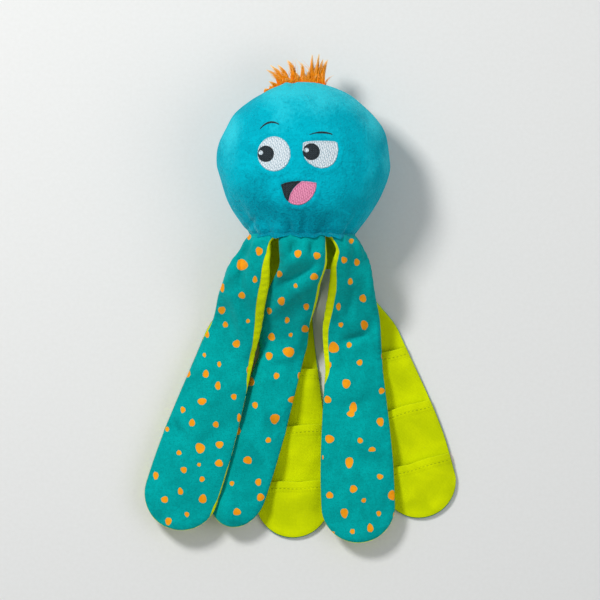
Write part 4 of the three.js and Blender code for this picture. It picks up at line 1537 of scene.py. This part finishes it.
@dataclass
class Leg:
    """One flat leg: dotted plush outside, lime lining with three pockets inside, and batting between.

    Attributes:
        name: Name of the leg's body.
        place: Its place round the neck, counted from the front in sixths.
        lean: How far it leans from the toy's length, in degrees.
        tip: Where it ends, in X and Y.
        wide: Share of its width that shows past the drop.
        hang: How far its left and right margins hang below its middle.
        head: The head that it is sewn to.
        seed: Start of its draws.
        dots: Printed dots, as X, Y and two radii seen from above.
        creases: Folds seen from above.
        left_bow: How its left margin swings.
        right_bow: How its right margin swings.
        climb: How high the right side climbs on the neighbour.
        left_wrap: Pairs of distance from the neck and width of lime that shows at the left margin.
        right_wrap: The same for the right margin.
        pattern: Sizes that it shares with the other legs.
        camera: Where the photo was taken from, which places the dots.
        seen_level: Height of the level on which the dots' places were read.
        bend_from: Distance from the neck where the cloth starts to turn with the leg.
        bend_to: Distance where it has wholly turned.
    """

    name: str
    place: int
    lean: float
    tip: Pair
    wide: float
    hang: Pair
    head: HeadBall
    seed: int
    dots: tuple[tuple[float, float, float, float], ...] = ()
    creases: tuple[Crease, ...] = ()
    left_bow: Bow = Bow()
    right_bow: Bow = Bow()
    climb: float = 0.0
    left_wrap: tuple[Pair, ...] = ()
    right_wrap: tuple[Pair, ...] = ()
    pattern: LegPattern = LegPattern()
    camera: tuple[float, float, float] = (-1.8, -125.1, 9035.0)
    seen_level: float = 35.0
    bend_from: float = 0.0
    bend_to: float = 30.0

    @property
    def facing(self) -> Facing:
        """Says which face is up."""
        return Facing.DOTTED if math.cos(self.turn) > 0.0 else Facing.LIME

    @property
    def turn(self) -> float:
        """Angle of its place round the neck."""
        return self.place / 6.0 * 2.0 * math.pi

    def width_at(self, s: Array) -> Array:
        """Gives half the pattern's width, without the rounding of the tip."""
        cut = self.pattern
        return mix(cut.top_half_width, cut.half_width, rise(s, cut.widen_from, cut.widen_to))

    def end_at(self, share: Array) -> Array:
        """Gives where the round tip ends at shares across."""
        cut = self.pattern
        held = np.clip(np.abs(share), 0.0, 1.0)
        return cut.length - cut.half_width + cut.half_width * np.sqrt(1.0 - held**2)

    def surface(self, s: Array, share: Array) -> Array:
        """Gives points of the plain outer face.

        Args:
            s: Distance from the neck.
            share: Share across, from -1 to 1.

        Returns:
            The points in millimetres.
        """
        cut, front = self.pattern, self.facing is Facing.DOTTED
        fall = ease(s / DROP)
        pinched = share if front else share * (1.0 - cut.rear_pinch * np.sin(fall * np.pi))
        _, width, thick = self.head.section(np.array(self.head.last_tilt))
        spread = 1.0 - np.exp(-np.maximum(s, 0.0) / FLARE_RUN)
        radius_x = width - cut.inset + FLARE * spread
        radius_z = thick - cut.inset + FLARE_UP * spread
        angle = self.turn + pinched * math.radians(cut.half_arc) * (width - cut.inset) / radius_x
        at_neck = joined(
            radius_x * np.sin(angle),
            self.head.neck_y - self.head.gap - s,
            self.head.middle_z + radius_z * np.cos(angle),
        )
        across = pinched * (1.0 if front else -1.0)
        side = self.width_at(s) * mix(1.0, self.wide, fall) * across
        hang = np.where(across < 0.0, self.hang[0], self.hang[1]) * across**2
        climbed = self.climb * ease((across + 0.9) / 1.0)
        level = cut.upper_level - hang + climbed if front else np.zeros(np.shape(s))
        back, lean = cut.length - s, math.radians(self.lean)
        laid = joined(
            self.tip[0] - math.sin(lean) * back + math.cos(lean) * side,
            self.tip[1] + math.cos(lean) * back + math.sin(lean) * side,
            level,
        )
        spots = at_neck + (laid - at_neck) * fall[..., None]
        spots[..., 0] += mix(self.left_bow.at(s), self.right_bow.at(s), share_of(across))
        if self.creases:
            spots[..., 2] += 2.4 * creased(self.creases, spots[..., 0], spots[..., 1]) * rise(s, 3.0, 22.0)
        return spots

    def outward(self, s: Array, share: Array) -> Array:
        """Gives the directions out of the dotted face."""
        along = self.surface(s + 0.3, share) - self.surface(s - 0.3, share)
        across = self.surface(s, share + 0.002) - self.surface(s, share - 0.002)
        return unit(np.cross(along, across))

    def thickness(self, s: Array) -> Array:
        """Gives the whole thickness from the dotted face to the lining's free face."""
        cut = self.pattern
        return cut.lining_depth - cut.pad_at_tip + mix(cut.pad_at_neck, cut.pad_at_tip, ease(s / DROP))

    def margin(self, s: Array, share: Array) -> Array:
        """Gives the distance to the nearest edge on the flat pattern."""
        cut = self.pattern
        start = cut.length - cut.half_width
        side = self.width_at(s) * share
        straight = self.width_at(s) - np.abs(side)
        rounded = cut.half_width - np.hypot(np.maximum(s - start, 0.0), side)
        return np.maximum(np.where(s > start, rounded, straight), 0.0)

    def roll(self, s: Array, share: Array) -> Array:
        """Gives how far a face has rolled towards the seam near the edge, from 0 to 1."""
        q = 1.0 - np.clip(self.margin(s, share) / self.pattern.roll_run, 0.0, 1.0)
        return 1.0 - np.sqrt(np.maximum(1.0 - q**2, 0.0))

    def wrap(self, table: tuple[Pair, ...], s: Array) -> Array:
        """Gives the width of lime at a margin."""
        if not table:
            return np.zeros(np.shape(s))
        marks = np.array(table)
        return np.interp(s, marks[:, 0], marks[:, 1])

    def swell(self, s: Array, share: Array, x: Array, y: Array) -> Array:
        """Gives how far the plush stands out of its plain face: padding, folds and seam puckers."""
        margin = self.margin(s, share)
        inner = rise(margin, 0.0, 9.0)
        waves = SoftWaves(self.seed, 46.0, 1.2).at(x, y) + SoftWaves(self.seed + 50, 21.0, 0.6).at(x, y)
        folds = creased(self.creases, x, y)
        ripple = 0.28 * np.sin(s * 0.95 + 2.0 * np.sin(s * 0.17 + self.seed)) * bell(margin - 2.6, 2.4)
        calm = rise(s, 0.0, 10.0)
        gathers = 1.6 * np.sin(share * 8.0 + 1.2 * np.sin(self.seed * 2.0)) * bell(s, 20.0) * calm
        uneven = waves * inner + 0.5 * folds * rise(margin, 0.0, 4.0)
        return 0.9 * inner + uneven * rise(s, 2.0, 22.0) + ripple + gathers

    def plush_face(self, s: Array, share: Array, depth: float) -> Array:
        """Gives points of the dotted plush, at a depth under its face. The table presses it flat."""
        plain = self.surface(s, share)
        high = self.swell(s, share, plain[..., 0], plain[..., 1])
        high = high - self.thickness(s) * self.pattern.roll_share * self.roll(s, share) - depth
        spots = plain + self.outward(s, share) * high[..., None]
        spots[..., 2] = np.maximum(spots[..., 2], depth)
        return spots

    def lime_depth(self, s: Array, share: Array) -> Array:
        """Gives how deep the lining's free face lies under the plain outer face."""
        thick = self.thickness(s)
        plain = self.surface(s, share)
        waves = SoftWaves(self.seed + 90, 40.0, 0.35).at(plain[..., 0], plain[..., 1])
        inner = rise(self.margin(s, share), 0.0, 9.0)
        rolled = 1.0 - self.pattern.roll_share * self.roll(s, share)
        return thick * rolled + waves * inner * rise(s, 2.0, 22.0)

    def ends(self, t: Array) -> tuple[Array, Array]:
        """Gives the shares across at which the plush ends on both sides."""
        s = t * (self.pattern.length - self.pattern.half_width)
        width = self.width_at(s)
        return -1.0 + self.wrap(self.left_wrap, s) / width, 1.0 - self.wrap(self.right_wrap, s) / width

    def sheet(self, name: str, columns: int, rows: int) -> tuple[Piece, Array, Array]:
        """Adds a grid and gives its shares across and along, closer together at the margins."""
        piece, u, v = Bench.grid(name, columns, rows)
        return piece, np.sin(u * np.pi / 2.0) * 0.55 + u * 0.45, share_of(v)

    def plush(self) -> Piece:
        """Makes the dotted plush."""
        cut = self.pattern
        piece, across, t = self.sheet(f"{self.name}_dotted_plush", cut.columns, cut.rows)
        share = mix(*self.ends(t), share_of(across))
        s = t * self.end_at(share)
        over = self.plush_face(s, share, 0.0)
        under = self.plush_face(s, share, cut.outer * 0.8)
        Bench.shell(piece, over * MM, under * MM)
        Bench.unfold(piece, share * self.width_at(s), s)
        Bench.carry(piece, "dot_edge", np.concatenate([self.print_edge(over, s, share), np.full(len(s), -3.0)]))
        Bench.smooth(piece, 60.0)
        return Bench.dress(piece, LEG_PLUSH, None, f"{self.name}_outer")

    def print_edge(self, spots: Array, s: Array, share: Array) -> Array:
        """Gives how far each place of the plush lies inside a printed dot, and below zero outside.

        Args:
            spots: Points of the plush in millimetres.
            s: Their distances from the neck.
            share: Their shares across.

        Returns:
            The distances in millimetres, held between -3 and 3.
        """
        best = np.full(len(spots), -3.0)
        if self.dots:
            nearer = (self.camera[2] - self.seen_level) / (self.camera[2] - spots[:, 2])
            x = self.camera[0] + (spots[:, 0] - self.camera[0]) * nearer
            y = self.camera[1] + (spots[:, 1] - self.camera[1]) * nearer
            best = np.maximum(best, self.nearest(self.dots, x, y))
        else:
            best = np.maximum(best, self.nearest(self.seeded_dots(), self.width_at(s) * share, s))
        return np.clip(best, -3.0, 3.0)

    def nearest(self, rows: Sequence[Sequence[float]], x: Array, y: Array) -> Array:
        """Gives the distance inside the nearest of several uneven dots."""
        best = np.full(len(x), -3.0)
        for number, (mid_x, mid_y, radius_x, radius_y) in enumerate(rows):
            dx, dy = (x - mid_x) / radius_x, (y - mid_y) / radius_y
            around = np.arctan2(dy, dx)
            wobble = 0.07 * np.sin(3.0 * around + number) + 0.05 * np.sin(2.0 * around + 2.3 * number)
            best = np.maximum(best, (1.0 + wobble - np.hypot(dx, dy)) * min(radius_x, radius_y))
        return best

    def seeded_dots(self) -> list[tuple[float, float, float, float]]:
        """Draws dots on the flat pattern where no picture shows them.

        Returns:
            Rows of side, distance from the neck and two radii.
        """
        cut = self.pattern
        draw = np.random.default_rng(self.seed + 7)
        rows: list[tuple[float, float, float, float]] = []
        while len(rows) < 38:
            s = draw.uniform(6.0, cut.length - 6.0)
            side = draw.uniform(-1.0, 1.0) * float(self.width_at(np.array(s)))
            if all(math.hypot(side - row[0], s - row[1]) > 13.5 for row in rows) or draw.random() < 0.004:
                size = draw.choice([2.1, 2.8, 3.4, 4.3], p=[0.3, 0.3, 0.25, 0.15])
                rows.append((side, s, size * draw.uniform(0.85, 1.1), size * draw.uniform(0.95, 1.25)))
        return rows

    def lime_point(self, t: Array, path: Array, depth: float) -> tuple[Array, Array, Array]:
        """Gives points of the lining, which runs over the inner face and round both margins.

        Args:
            t: Share along the leg.
            path: From -1 to 1 along the lining across the leg, from one end of it to the other.
            depth: How far inside the lining's free face.

        Returns:
            The points, their shares across and their distances from the neck.
        """
        left, right = self.ends(t)
        low, high = -2.0 - left, 2.0 - right
        place = mix(low, high, share_of(path))
        beyond = np.abs(place) > 1.0
        share = np.where(beyond, np.sign(place) * (2.0 - np.abs(place)), place)
        s = t * self.end_at(share)
        below = self.surface(s, share) - self.outward(s, share) * (self.lime_depth(s, share) - depth)[..., None]
        above = self.plush_face(s, share, 0.25 + depth)
        return np.where(beyond[..., None], above, below), share, s

    def lining(self) -> Piece:
        """Makes the lime lining with its margins turned round the edges."""
        cut = self.pattern
        piece, path, t = self.sheet(f"{self.name}_lime_lining", 72, cut.rows)
        over, share, s = self.lime_point(t, path, 0.0)
        under, _, _ = self.lime_point(t, path, cut.lining)
        Bench.shell(piece, over * MM, under * MM)
        Bench.unfold(piece, share * self.width_at(s), s)
        Bench.smooth(piece, 60.0)
        return Bench.dress(piece, LIME_COTTON, None, f"{self.name}_lining")

    def batting(self) -> Piece:
        """Makes the thin pad between plush and lining."""
        cut = self.pattern
        piece, across, t = self.sheet(f"{self.name}_batting_pad", 30, 96)
        share = across * 0.93
        s = 1.0 + t * (self.end_at(across) - 4.5)
        plain, out = self.surface(s, share), self.outward(s, share)
        top = self.plush_face(s, share, cut.outer + 0.25)
        bottom = plain - out * (self.lime_depth(s, share) - cut.lining - 0.3)[..., None]
        waves = SoftWaves(self.seed + 130, 11.0, 0.08).at(*plain.T)
        Bench.shell(piece, (top + out * waves[..., None]) * MM, bottom * MM)
        Bench.smooth(piece, 60.0)
        return Bench.dress(piece, BATTING, None, f"{self.name}_wadding")

    def pocket_lift(self, f: Array, share: Array) -> Array:
        """Gives how far a pocket panel stands off the lining."""
        closing = 1.0 - rise(f, 0.14, 0.92)
        return 0.45 + (self.pattern.gape - 0.45) * (1.0 - np.abs(share) ** 4) * closing

    def slack(self, f: Array, share: Array, index: int) -> Array:
        """Gives how a pocket's mouth ripples off the leg, less and less down the panel."""
        return 0.5 * np.sin(share * 7.0 + self.seed + index) * (1.0 - share**2) * (1.0 - f)

    def ruffle(self, share: Array, index: int) -> Array:
        """Gives how a pocket's mouth waves along the leg."""
        return 0.6 * np.sin(share * 5.0 + self.seed * 1.7 + index) * (1.0 - share**2)

    def pocket(self, index: int, word: str) -> None:
        """Makes one pocket panel with its folded hem, and the row of stitches that holds the hem.

        Args:
            index: Which pocket, counted from the neck.
            word: The pocket's name.
        """
        cut = self.pattern
        mouth = cut.length - cut.pocket_depth * (3 - index)
        last = index == 2
        piece, across, t = self.sheet(f"{self.name}_pocket_panel_{word}", 44, 62)
        share = across * 0.985
        hem_rows, fold_rows, fold = 0.16, 0.07, 0.5
        end = (self.end_at(share) - 0.8) if last else np.full(len(share), mouth + cut.pocket_depth - 0.3)
        in_hem, in_fold = t < hem_rows, (t >= hem_rows) & (t < hem_rows + fold_rows)
        bend = np.clip((t - hem_rows) / fold_rows, 0.0, 1.0) * np.pi
        run = np.clip((t - hem_rows - fold_rows) / (1.0 - hem_rows - fold_rows), 0.0, 1.0)
        s = np.where(in_hem, mix(mouth + cut.hem, mouth, t / hem_rows), mix(mouth, end, run))
        s = np.where(in_fold, mouth - fold * np.sin(bend), s)
        groove = 0.4 * bell(s - mouth - cut.hem + cut.stitch_inset, 0.8)
        over_hem = 2 * fold * (1.0 - rise(s - mouth, cut.hem - 0.4, cut.hem + 2.6)) - groove
        extra = np.where(in_hem, 0.0, np.where(in_fold, fold * (1.0 - np.cos(bend)), over_hem))
        f = np.clip((s - mouth) / (end - mouth), 0.0, 1.0)
        waves = SoftWaves(self.seed * 7 + index, 24.0, 0.35).at(share * cut.half_width, s)
        slack = self.slack(f, share, index) + waves * np.sin(f * np.pi)
        s_held = s + self.ruffle(share, index) * (1.0 - rise(f, 0.0, 0.5))
        lift = self.pocket_lift(f, share) + extra + slack + 0.3
        out = self.outward(s_held, share)
        spots = self.surface(s_held, share) - out * (self.lime_depth(s_held, share) + lift)[..., None]
        Bench.move(piece, spots * MM)
        Bench.face(piece, -out)
        Bench.unfold(piece, share * self.width_at(s), s + extra * 3.0)
        Bench.finish_with(piece, "SOLIDIFY", thickness=cut.cloth * MM, offset=0.0)
        Bench.smooth(piece, 60.0)
        Bench.dress(piece, LIME_COTTON, self.name, f"{self.name}_pocket_{word}")
        stitches = self.topstitch(f"{self.name}_topstitch_{word}", mouth, index, end)

    def topstitch(self, name: str, mouth: float, index: int, end: Array) -> Piece:
        """Makes the row of stitches along a hem, one small capsule copied along it."""
        cut = self.pattern
        piece, seed_spots = Bench.globe(name, 8, 6)
        faces = [tuple(face.vertices) for face in piece.data.polygons]
        seam = mouth + cut.hem - cut.stitch_inset
        width, reach = float(self.width_at(np.array(seam))), cut.stitch_reach
        count = int(2 * width * reach / cut.stitch_pitch)
        shares = (np.arange(count) + 0.5) / count * 2.0 * reach - reach
        depth_end = float(np.max(end))
        all_spots, all_faces = [], []
        for number, share in enumerate(shares):
            held = np.full(3, float(share)) + np.array([0.0, 0.01, -0.01])
            s = seam + self.ruffle(held, index)
            f = (s - mouth) / (depth_end - mouth)
            lift = self.pocket_lift(f, held) + 0.6 + self.slack(f, held, index) + 0.3 + 0.42
            out = self.outward(s, held)
            line = self.surface(s, held) - out * (self.lime_depth(s, held) + lift)[..., None]
            side, up = unit(line[1] - line[2]), -out[0]
            grown = line[0] + seed_spots[:, :1] * side * cut.stitch_long / 2.0
            grown = grown + seed_spots[:, 1:2] * np.cross(up, side) * cut.stitch_thick
            all_spots.append(grown + seed_spots[:, 2:] * up * cut.stitch_high)
            all_faces.extend(tuple(v + number * len(seed_spots) for v in face) for face in faces)
        mesh = bpy.data.meshes.new(name)
        mesh.from_pydata((np.concatenate(all_spots) * MM).tolist(), [], all_faces)
        piece.data = mesh
        Bench.turn_out(piece)
        Bench.smooth(piece, 80.0)
        return Bench.dress(piece, LIME_THREAD, self.name)

    def bend(self, piece: Piece) -> None:
        """Works out where a layer would stay sewn to the head and where it would turn with the leg, and bakes the
        layer's place into its mesh; the layer is not bent.
        """
        start = self.surface(np.array(self.bend_from), np.array(0.0)) * MM
        end = self.surface(np.array(self.bend_to), np.array(0.0)) * MM
        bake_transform(piece)

    def build(self) -> None:
        """Makes the whole leg."""
        for layer in (self.batting(), self.plush(), self.lining()):
            self.bend(layer)
        for index, word in enumerate(("upper", "middle", "lower")):
            self.pocket(index, word)


LEFT_DOTS = (
    (-47.7, -68.3, 1.8, 2.5), (-38.6, -81.2, 3, 4), (-53.9, -93.4, 5.2, 4.7), (-42.3, -106.7, 2, 3.1),
    (-54.1, -120.9, 3, 3), (-71.8, -114.1, 2, 3.8), (-72.2, -134.3, 3.1, 3.5), (-39.8, -133.9, 0.9, 1.8),
    (-48.7, -144, 1.8, 1.9), (-69, -147.3, 2.2, 2.8), (-85.4, -156, 1.8, 3.1), (-59, -164.5, 3.3, 3.4),
    (-87.9, -174.6, 1.5, 2), (-74.5, -182.8, 1.8, 2.4), (-47.9, -188.4, 2, 3.6), (-102.8, -190.8, 2.3, 4),
    (-86.6, -191.7, 2.8, 3.4), (-75.7, -202.2, 2.3, 4), (-61.3, -212.2, 2.5, 2.6), (-90, -216.3, 4, 3),
    (-107.2, -223.8, 2.1, 2.9), (-56.6, -231.1, 1.9, 3.6), (-99, -235.7, 2.6, 3.4), (-77.6, -237.2, 2.5, 2.9),
    (-121.4, -241.3, 2.1, 2.1), (-74.2, -255.3, 3.3, 3.2), (-91.7, -258.4, 4.2, 4.6), (-133.8, -259.5, 1.8, 2.9),
    (-110.8, -262.6, 2.3, 2.3), (-74.7, -272, 3.6, 3.1), (-92.7, -273.3, 1.7, 1.8), (-106.4, -278, 2.7, 2.9),
    (-131.6, -283.1, 2.5, 3.3), (-89.9, -286.3, 2.3, 2.5), (-109.4, -297.3, 2.3, 3.3), (-89.3, -304.1, 3.6, 3.8),
    (-123.6, -304.7, 3.1, 3), (-103.6, -318, 2.1, 2.3), (-120.2, -324.2, 3, 3.4),
)
MIDDLE_DOTS = (
    (-3.7, -83.4, 3.2, 3.5), (13.4, -85.2, 3.1, 3.3), (-20.2, -101.8, 2.6, 2.8), (10.9, -104.1, 3.4, 3.1),
    (-5.8, -112.2, 1.8, 2.1), (-18.5, -126.1, 3.3, 3.6), (3.9, -131.1, 2.4, 3.1), (-29.4, -134.9, 2.3, 3),
    (-13.4, -143.2, 2.2, 2.7), (2.8, -151.1, 3, 3.3), (-27.4, -158.3, 3.2, 3.3), (-10.2, -156.5, 1.8, 1.9),
    (-12, -171.8, 5, 4.6), (-29.6, -175.4, 3.3, 3.3), (-23, -193.4, 2.4, 3), (-2.1, -193.4, 1.9, 3.1),
    (-45.8, -198.8, 3.1, 3.6), (-8.7, -214.8, 3.5, 3.1), (-42.3, -219.7, 2.6, 2.8), (-24.5, -232, 4.2, 4.4),
    (-12.9, -241, 1.2, 3), (-57.5, -242.8, 2.3, 3.6), (-30.3, -251.2, 2.4, 2.5), (-48.9, -269.3, 3.8, 3.5),
    (-39.3, -289, 2.8, 3.1), (-63.1, -290.2, 2, 2.3), (-76, -298.4, 1.7, 2.2), (-37.3, -302.6, 3.4, 3.3),
    (-58.5, -315.8, 3.3, 3.3), (-62, -214, 2.4, 2.6), (-70, -262, 3, 3.2), (-52, -176, 2.8, 3.2), (-46, -154, 2.2, 2.6),
)
RIGHT_DOTS = (
    (44.4, -72, 2.2, 2.4), (37.9, -89.1, 2.6, 3.1), (49.4, -91.2, 2.6, 3.1), (43.5, -108.5, 2.1, 3.1),
    (54.8, -123.6, 3, 3.5), (32.8, -131, 2.1, 3.2), (35, -147.3, 2.1, 2.3), (56.1, -147.7, 3.2, 4.2),
    (42.4, -165.5, 2.3, 2.5), (28.5, -167.9, 4.4, 5.1), (72.8, -175.2, 1.4, 3.6), (51.9, -181.4, 2.6, 2.7),
    (23.7, -183.6, 2.8, 3.2), (39.9, -200.3, 3.9, 4), (71.7, -206.9, 2.5, 2.8), (23.1, -214.7, 3.1, 3.3),
    (46.1, -221.8, 3.4, 4.5), (43.9, -227.5, 3.2, 3.1), (70.5, -234.8, 3.2, 3.8), (83.1, -243.2, 1.2, 2.3),
    (24.8, -250.2, 3.9, 3.8), (52.3, -251.6, 2.5, 2.5), (63.1, -259.6, 3.1, 2.2), (83.4, -263.9, 1.5, 2.9),
    (18.7, -266.7, 0.9, 1.8), (42.6, -271.3, 3.4, 5.2), (70.2, -284.1, 2.8, 2.4), (46.3, -295.2, 3.4, 3.3),
    (24.9, -300.8, 3.1, 3.1), (81, -300.9, 3.6, 4.3), (55.6, -305.5, 2.1, 2.1), (38.1, -316.8, 3.2, 4.5),
    (69.1, -317.2, 2.1, 2.4), (83.1, -319.3, 1.2, 3), (61.4, -330.3, 2.7, 4), (45.4, -333.4, 2.3, 2.3),
    (27.7, -334.6, 1.8, 1.6),
)


def make_legs(head: HeadBall) -> list[Leg]:
    """Gives the six legs as the toy was laid down.

    Args:
        head: The head that they are sewn to.

    Returns:
        The legs, front ones first.
    """
    middle_folds = (
        Crease((12, -92), (-19.8, -112), 5, -1.9), Crease((4, -80), (-18, -98), 5, 1.1),
        Crease((2, -112), (-24, -132), 6, 1), Crease((-8, -70), (-8.5, -82), 2.4, -1.4),
        Crease((9, -70), (8, -82), 2.4, -1.4), Crease((-36, -232), (-20, -244), 7, -1.3),
        Crease((2, -140), (-16, -190), 6, 0.9), Crease((-38, -190), (-12, -182), 6, -0.9),
    )
    left_folds = (
        Crease((-53, -72), (-54, -111), 5, -2), Crease((-63, -122), (-48, -172), 5.5, 1.4),
        Crease((-70, -150), (-66, -190), 7, -0.9), Crease((-120, -236), (-104, -250), 7, -1.2),
        Crease((-84, -210), (-100, -262), 9, 0.8), Crease((-134, -316), (-126, -330), 8, -1.4),
    )
    right_folds = (
        Crease((44, -118), (42, -139), 4, -1.3), Crease((38, -162), (58, -156), 4, -1.2),
        Crease((68, -150), (69.5, -174), 4.5, 1.3), Crease((60, -96), (66, -130), 5, 0.9),
        Crease((30, -226), (62, -214), 8, -0.8), Crease((46, -276), (74, -268), 8, -0.7),
    )
    left_strip = (
        (0, 0.4), (7, 0.8), (18, 4.4), (25, 5.6), (41, 7.0), (59, 7.0), (75, 5.9), (92, 4.8), (102, 4.0), (115, 2.8),
        (125, 0.9), (136, 0.0), (192, 0.0), (200, 1.0), (226, 1.0), (229, 2.4), (240, 2.8),
    )
    middle_strip = ((0, 0.6), (8, 1.6), (22, 2.6), (40, 2.8), (56, 2.2), (68, 1.2), (78, 0.0))
    right_strip = (
        (0, 1.0), (5, 1.4), (16, 2.8), (37, 5.6), (44, 6.2), (57, 5.8), (74, 4.5), (92, 4.4), (107, 4.4), (113, 3.4),
        (123, 0.8), (128, 0.0),
    )
    return [
        Leg(
            "front_middle_leg", 0, -18, (-68, -329), 0.78, (9, 2), head, 1, MIDDLE_DOTS, middle_folds,
            Bow(-13.5, 22, 66, 80, 120), Bow(-5.5, 22, 46, 74, 100), 0, (), middle_strip,
        ),
        Leg(
            "front_right_leg", 1, 1.8, (51.7, -344), 1, (2.5, 2.5), head, 2, RIGHT_DOTS, right_folds,
            Bow(-6.5, 12, 30, 72, 120), Bow(4.5, 0, 30, 72, 120), 0, right_strip, (),
        ),
        Leg(
            "front_left_leg", 5, -18, (-119, -331), 1, (2.5, 0), head, 6, LEFT_DOTS, left_folds,
            Bow(-10, 0, 35, 50, 92), Bow(3.4, 4, 18, 34, 62), 4, (), left_strip,
        ),
        Leg(
            "rear_right_leg", 2, 15.2, (114.3, -321), 1, (0, 0), head, 3, (), (),
            Bow(-8, 20, 70, 80, 215), Bow(-8, 20, 70, 80, 215),
        ),
        Leg(
            "rear_middle_leg", 3, 2, (-7, -340), 1, (0, 0), head, 4, (), (),
            Bow(-9, 5, 35, 60, 110),
        ),
        Leg("rear_left_leg", 4, -18, (-116, -320), 0.94, (0, 0), head, 5),
    ]


# ---------------------------------------------------------------------------------------------
# Studio
# ---------------------------------------------------------------------------------------------


@dataclass
class Studio:
    """Pale floor, soft lamps and the camera straight above."""

    middle: tuple[float, float] = (-0.0018, -0.1251)
    height: float = 9.035
    lens: float = 600.0
    floor_drop: float = 0.0006

    def lamp(self, name: str, place: Sequence[float], size: float, power: float) -> None:
        """Hangs a soft square lamp that looks at the toy."""
        lamp = Bench.add(name, bpy.ops.object.light_add, type="AREA", location=place)
        lamp.data.shape = "SQUARE"
        lamp.data.size = size
        lamp.data.energy = power
        aim = Vector((self.middle[0], self.middle[1], 0.03)) - Vector(place)
        lamp.rotation_euler = aim.to_track_quat("-Z", "Y").to_euler()

    def floor(self) -> None:
        """Lays the floor."""
        under = (0.0, 0.0, -self.floor_drop)
        floor = Bench.add("studio_floor", bpy.ops.mesh.primitive_plane_add, size=12.0, location=under)
        floor.data.materials.append(PAPER.material())

    def world(self) -> None:
        """Lights the room evenly and shows a pale wall behind."""
        world = bpy.data.worlds.new("studio_air")
        bpy.context.scene.world = world
        world.use_nodes = True
        shading = Shading(world.node_tree)
        world.node_tree.nodes.clear()
        path = shading.add("ShaderNodeLightPath")
        seen = shading.math("MAXIMUM", path.outputs["Is Camera Ray"], path.outputs["Is Glossy Ray"])
        seen = shading.math("MAXIMUM", seen, path.outputs["Is Transmission Ray"])
        air, wall = (
            shading.fill(shading.add("ShaderNodeBackground"), Color=colour, Strength=strength).outputs[0]
            for colour, strength in (((0.93, 0.96, 1.0, 1.0), 0.38), (from_screen(*PAPER.light), 1.0))
        )
        both = shading.add("ShaderNodeMixShader")
        for socket, value in zip(both.inputs, (seen, air, wall)):
            shading.feed(socket, value)
        shading.feed(shading.add("ShaderNodeOutputWorld").inputs[0], both.outputs[0])

    def build(self) -> None:
        """Sets up the camera, lamps, floor and room."""
        self.floor()
        self.world()
        self.lamp("key_lamp", (-0.95, 0.85, 1.65), 0.45, 31.5)
        self.lamp("fill_lamp", (1.2, -0.3, 1.5), 1.2, 6.0)
        above = (*self.middle, self.height)
        camera = Bench.add("overhead_camera", bpy.ops.object.camera_add, location=above, rotation=(0.0, 0.0, 0.0))
        camera.data.sensor_width = 36.0
        camera.data.lens = self.lens
        bpy.context.scene.camera = camera
        bpy.context.scene.view_settings.view_transform = "Standard"


def main() -> None:
    """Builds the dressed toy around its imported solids."""
    logging.basicConfig(level=logging.INFO, format="%(message)s")
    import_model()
    Studio().build()
    head = HeadBall()
    skin = head.build()
    Embroidery(skin).build()
    FurTuft(head).build()
    for leg in make_legs(head):
        leg.build()


if __name__ == "__main__":
    main()
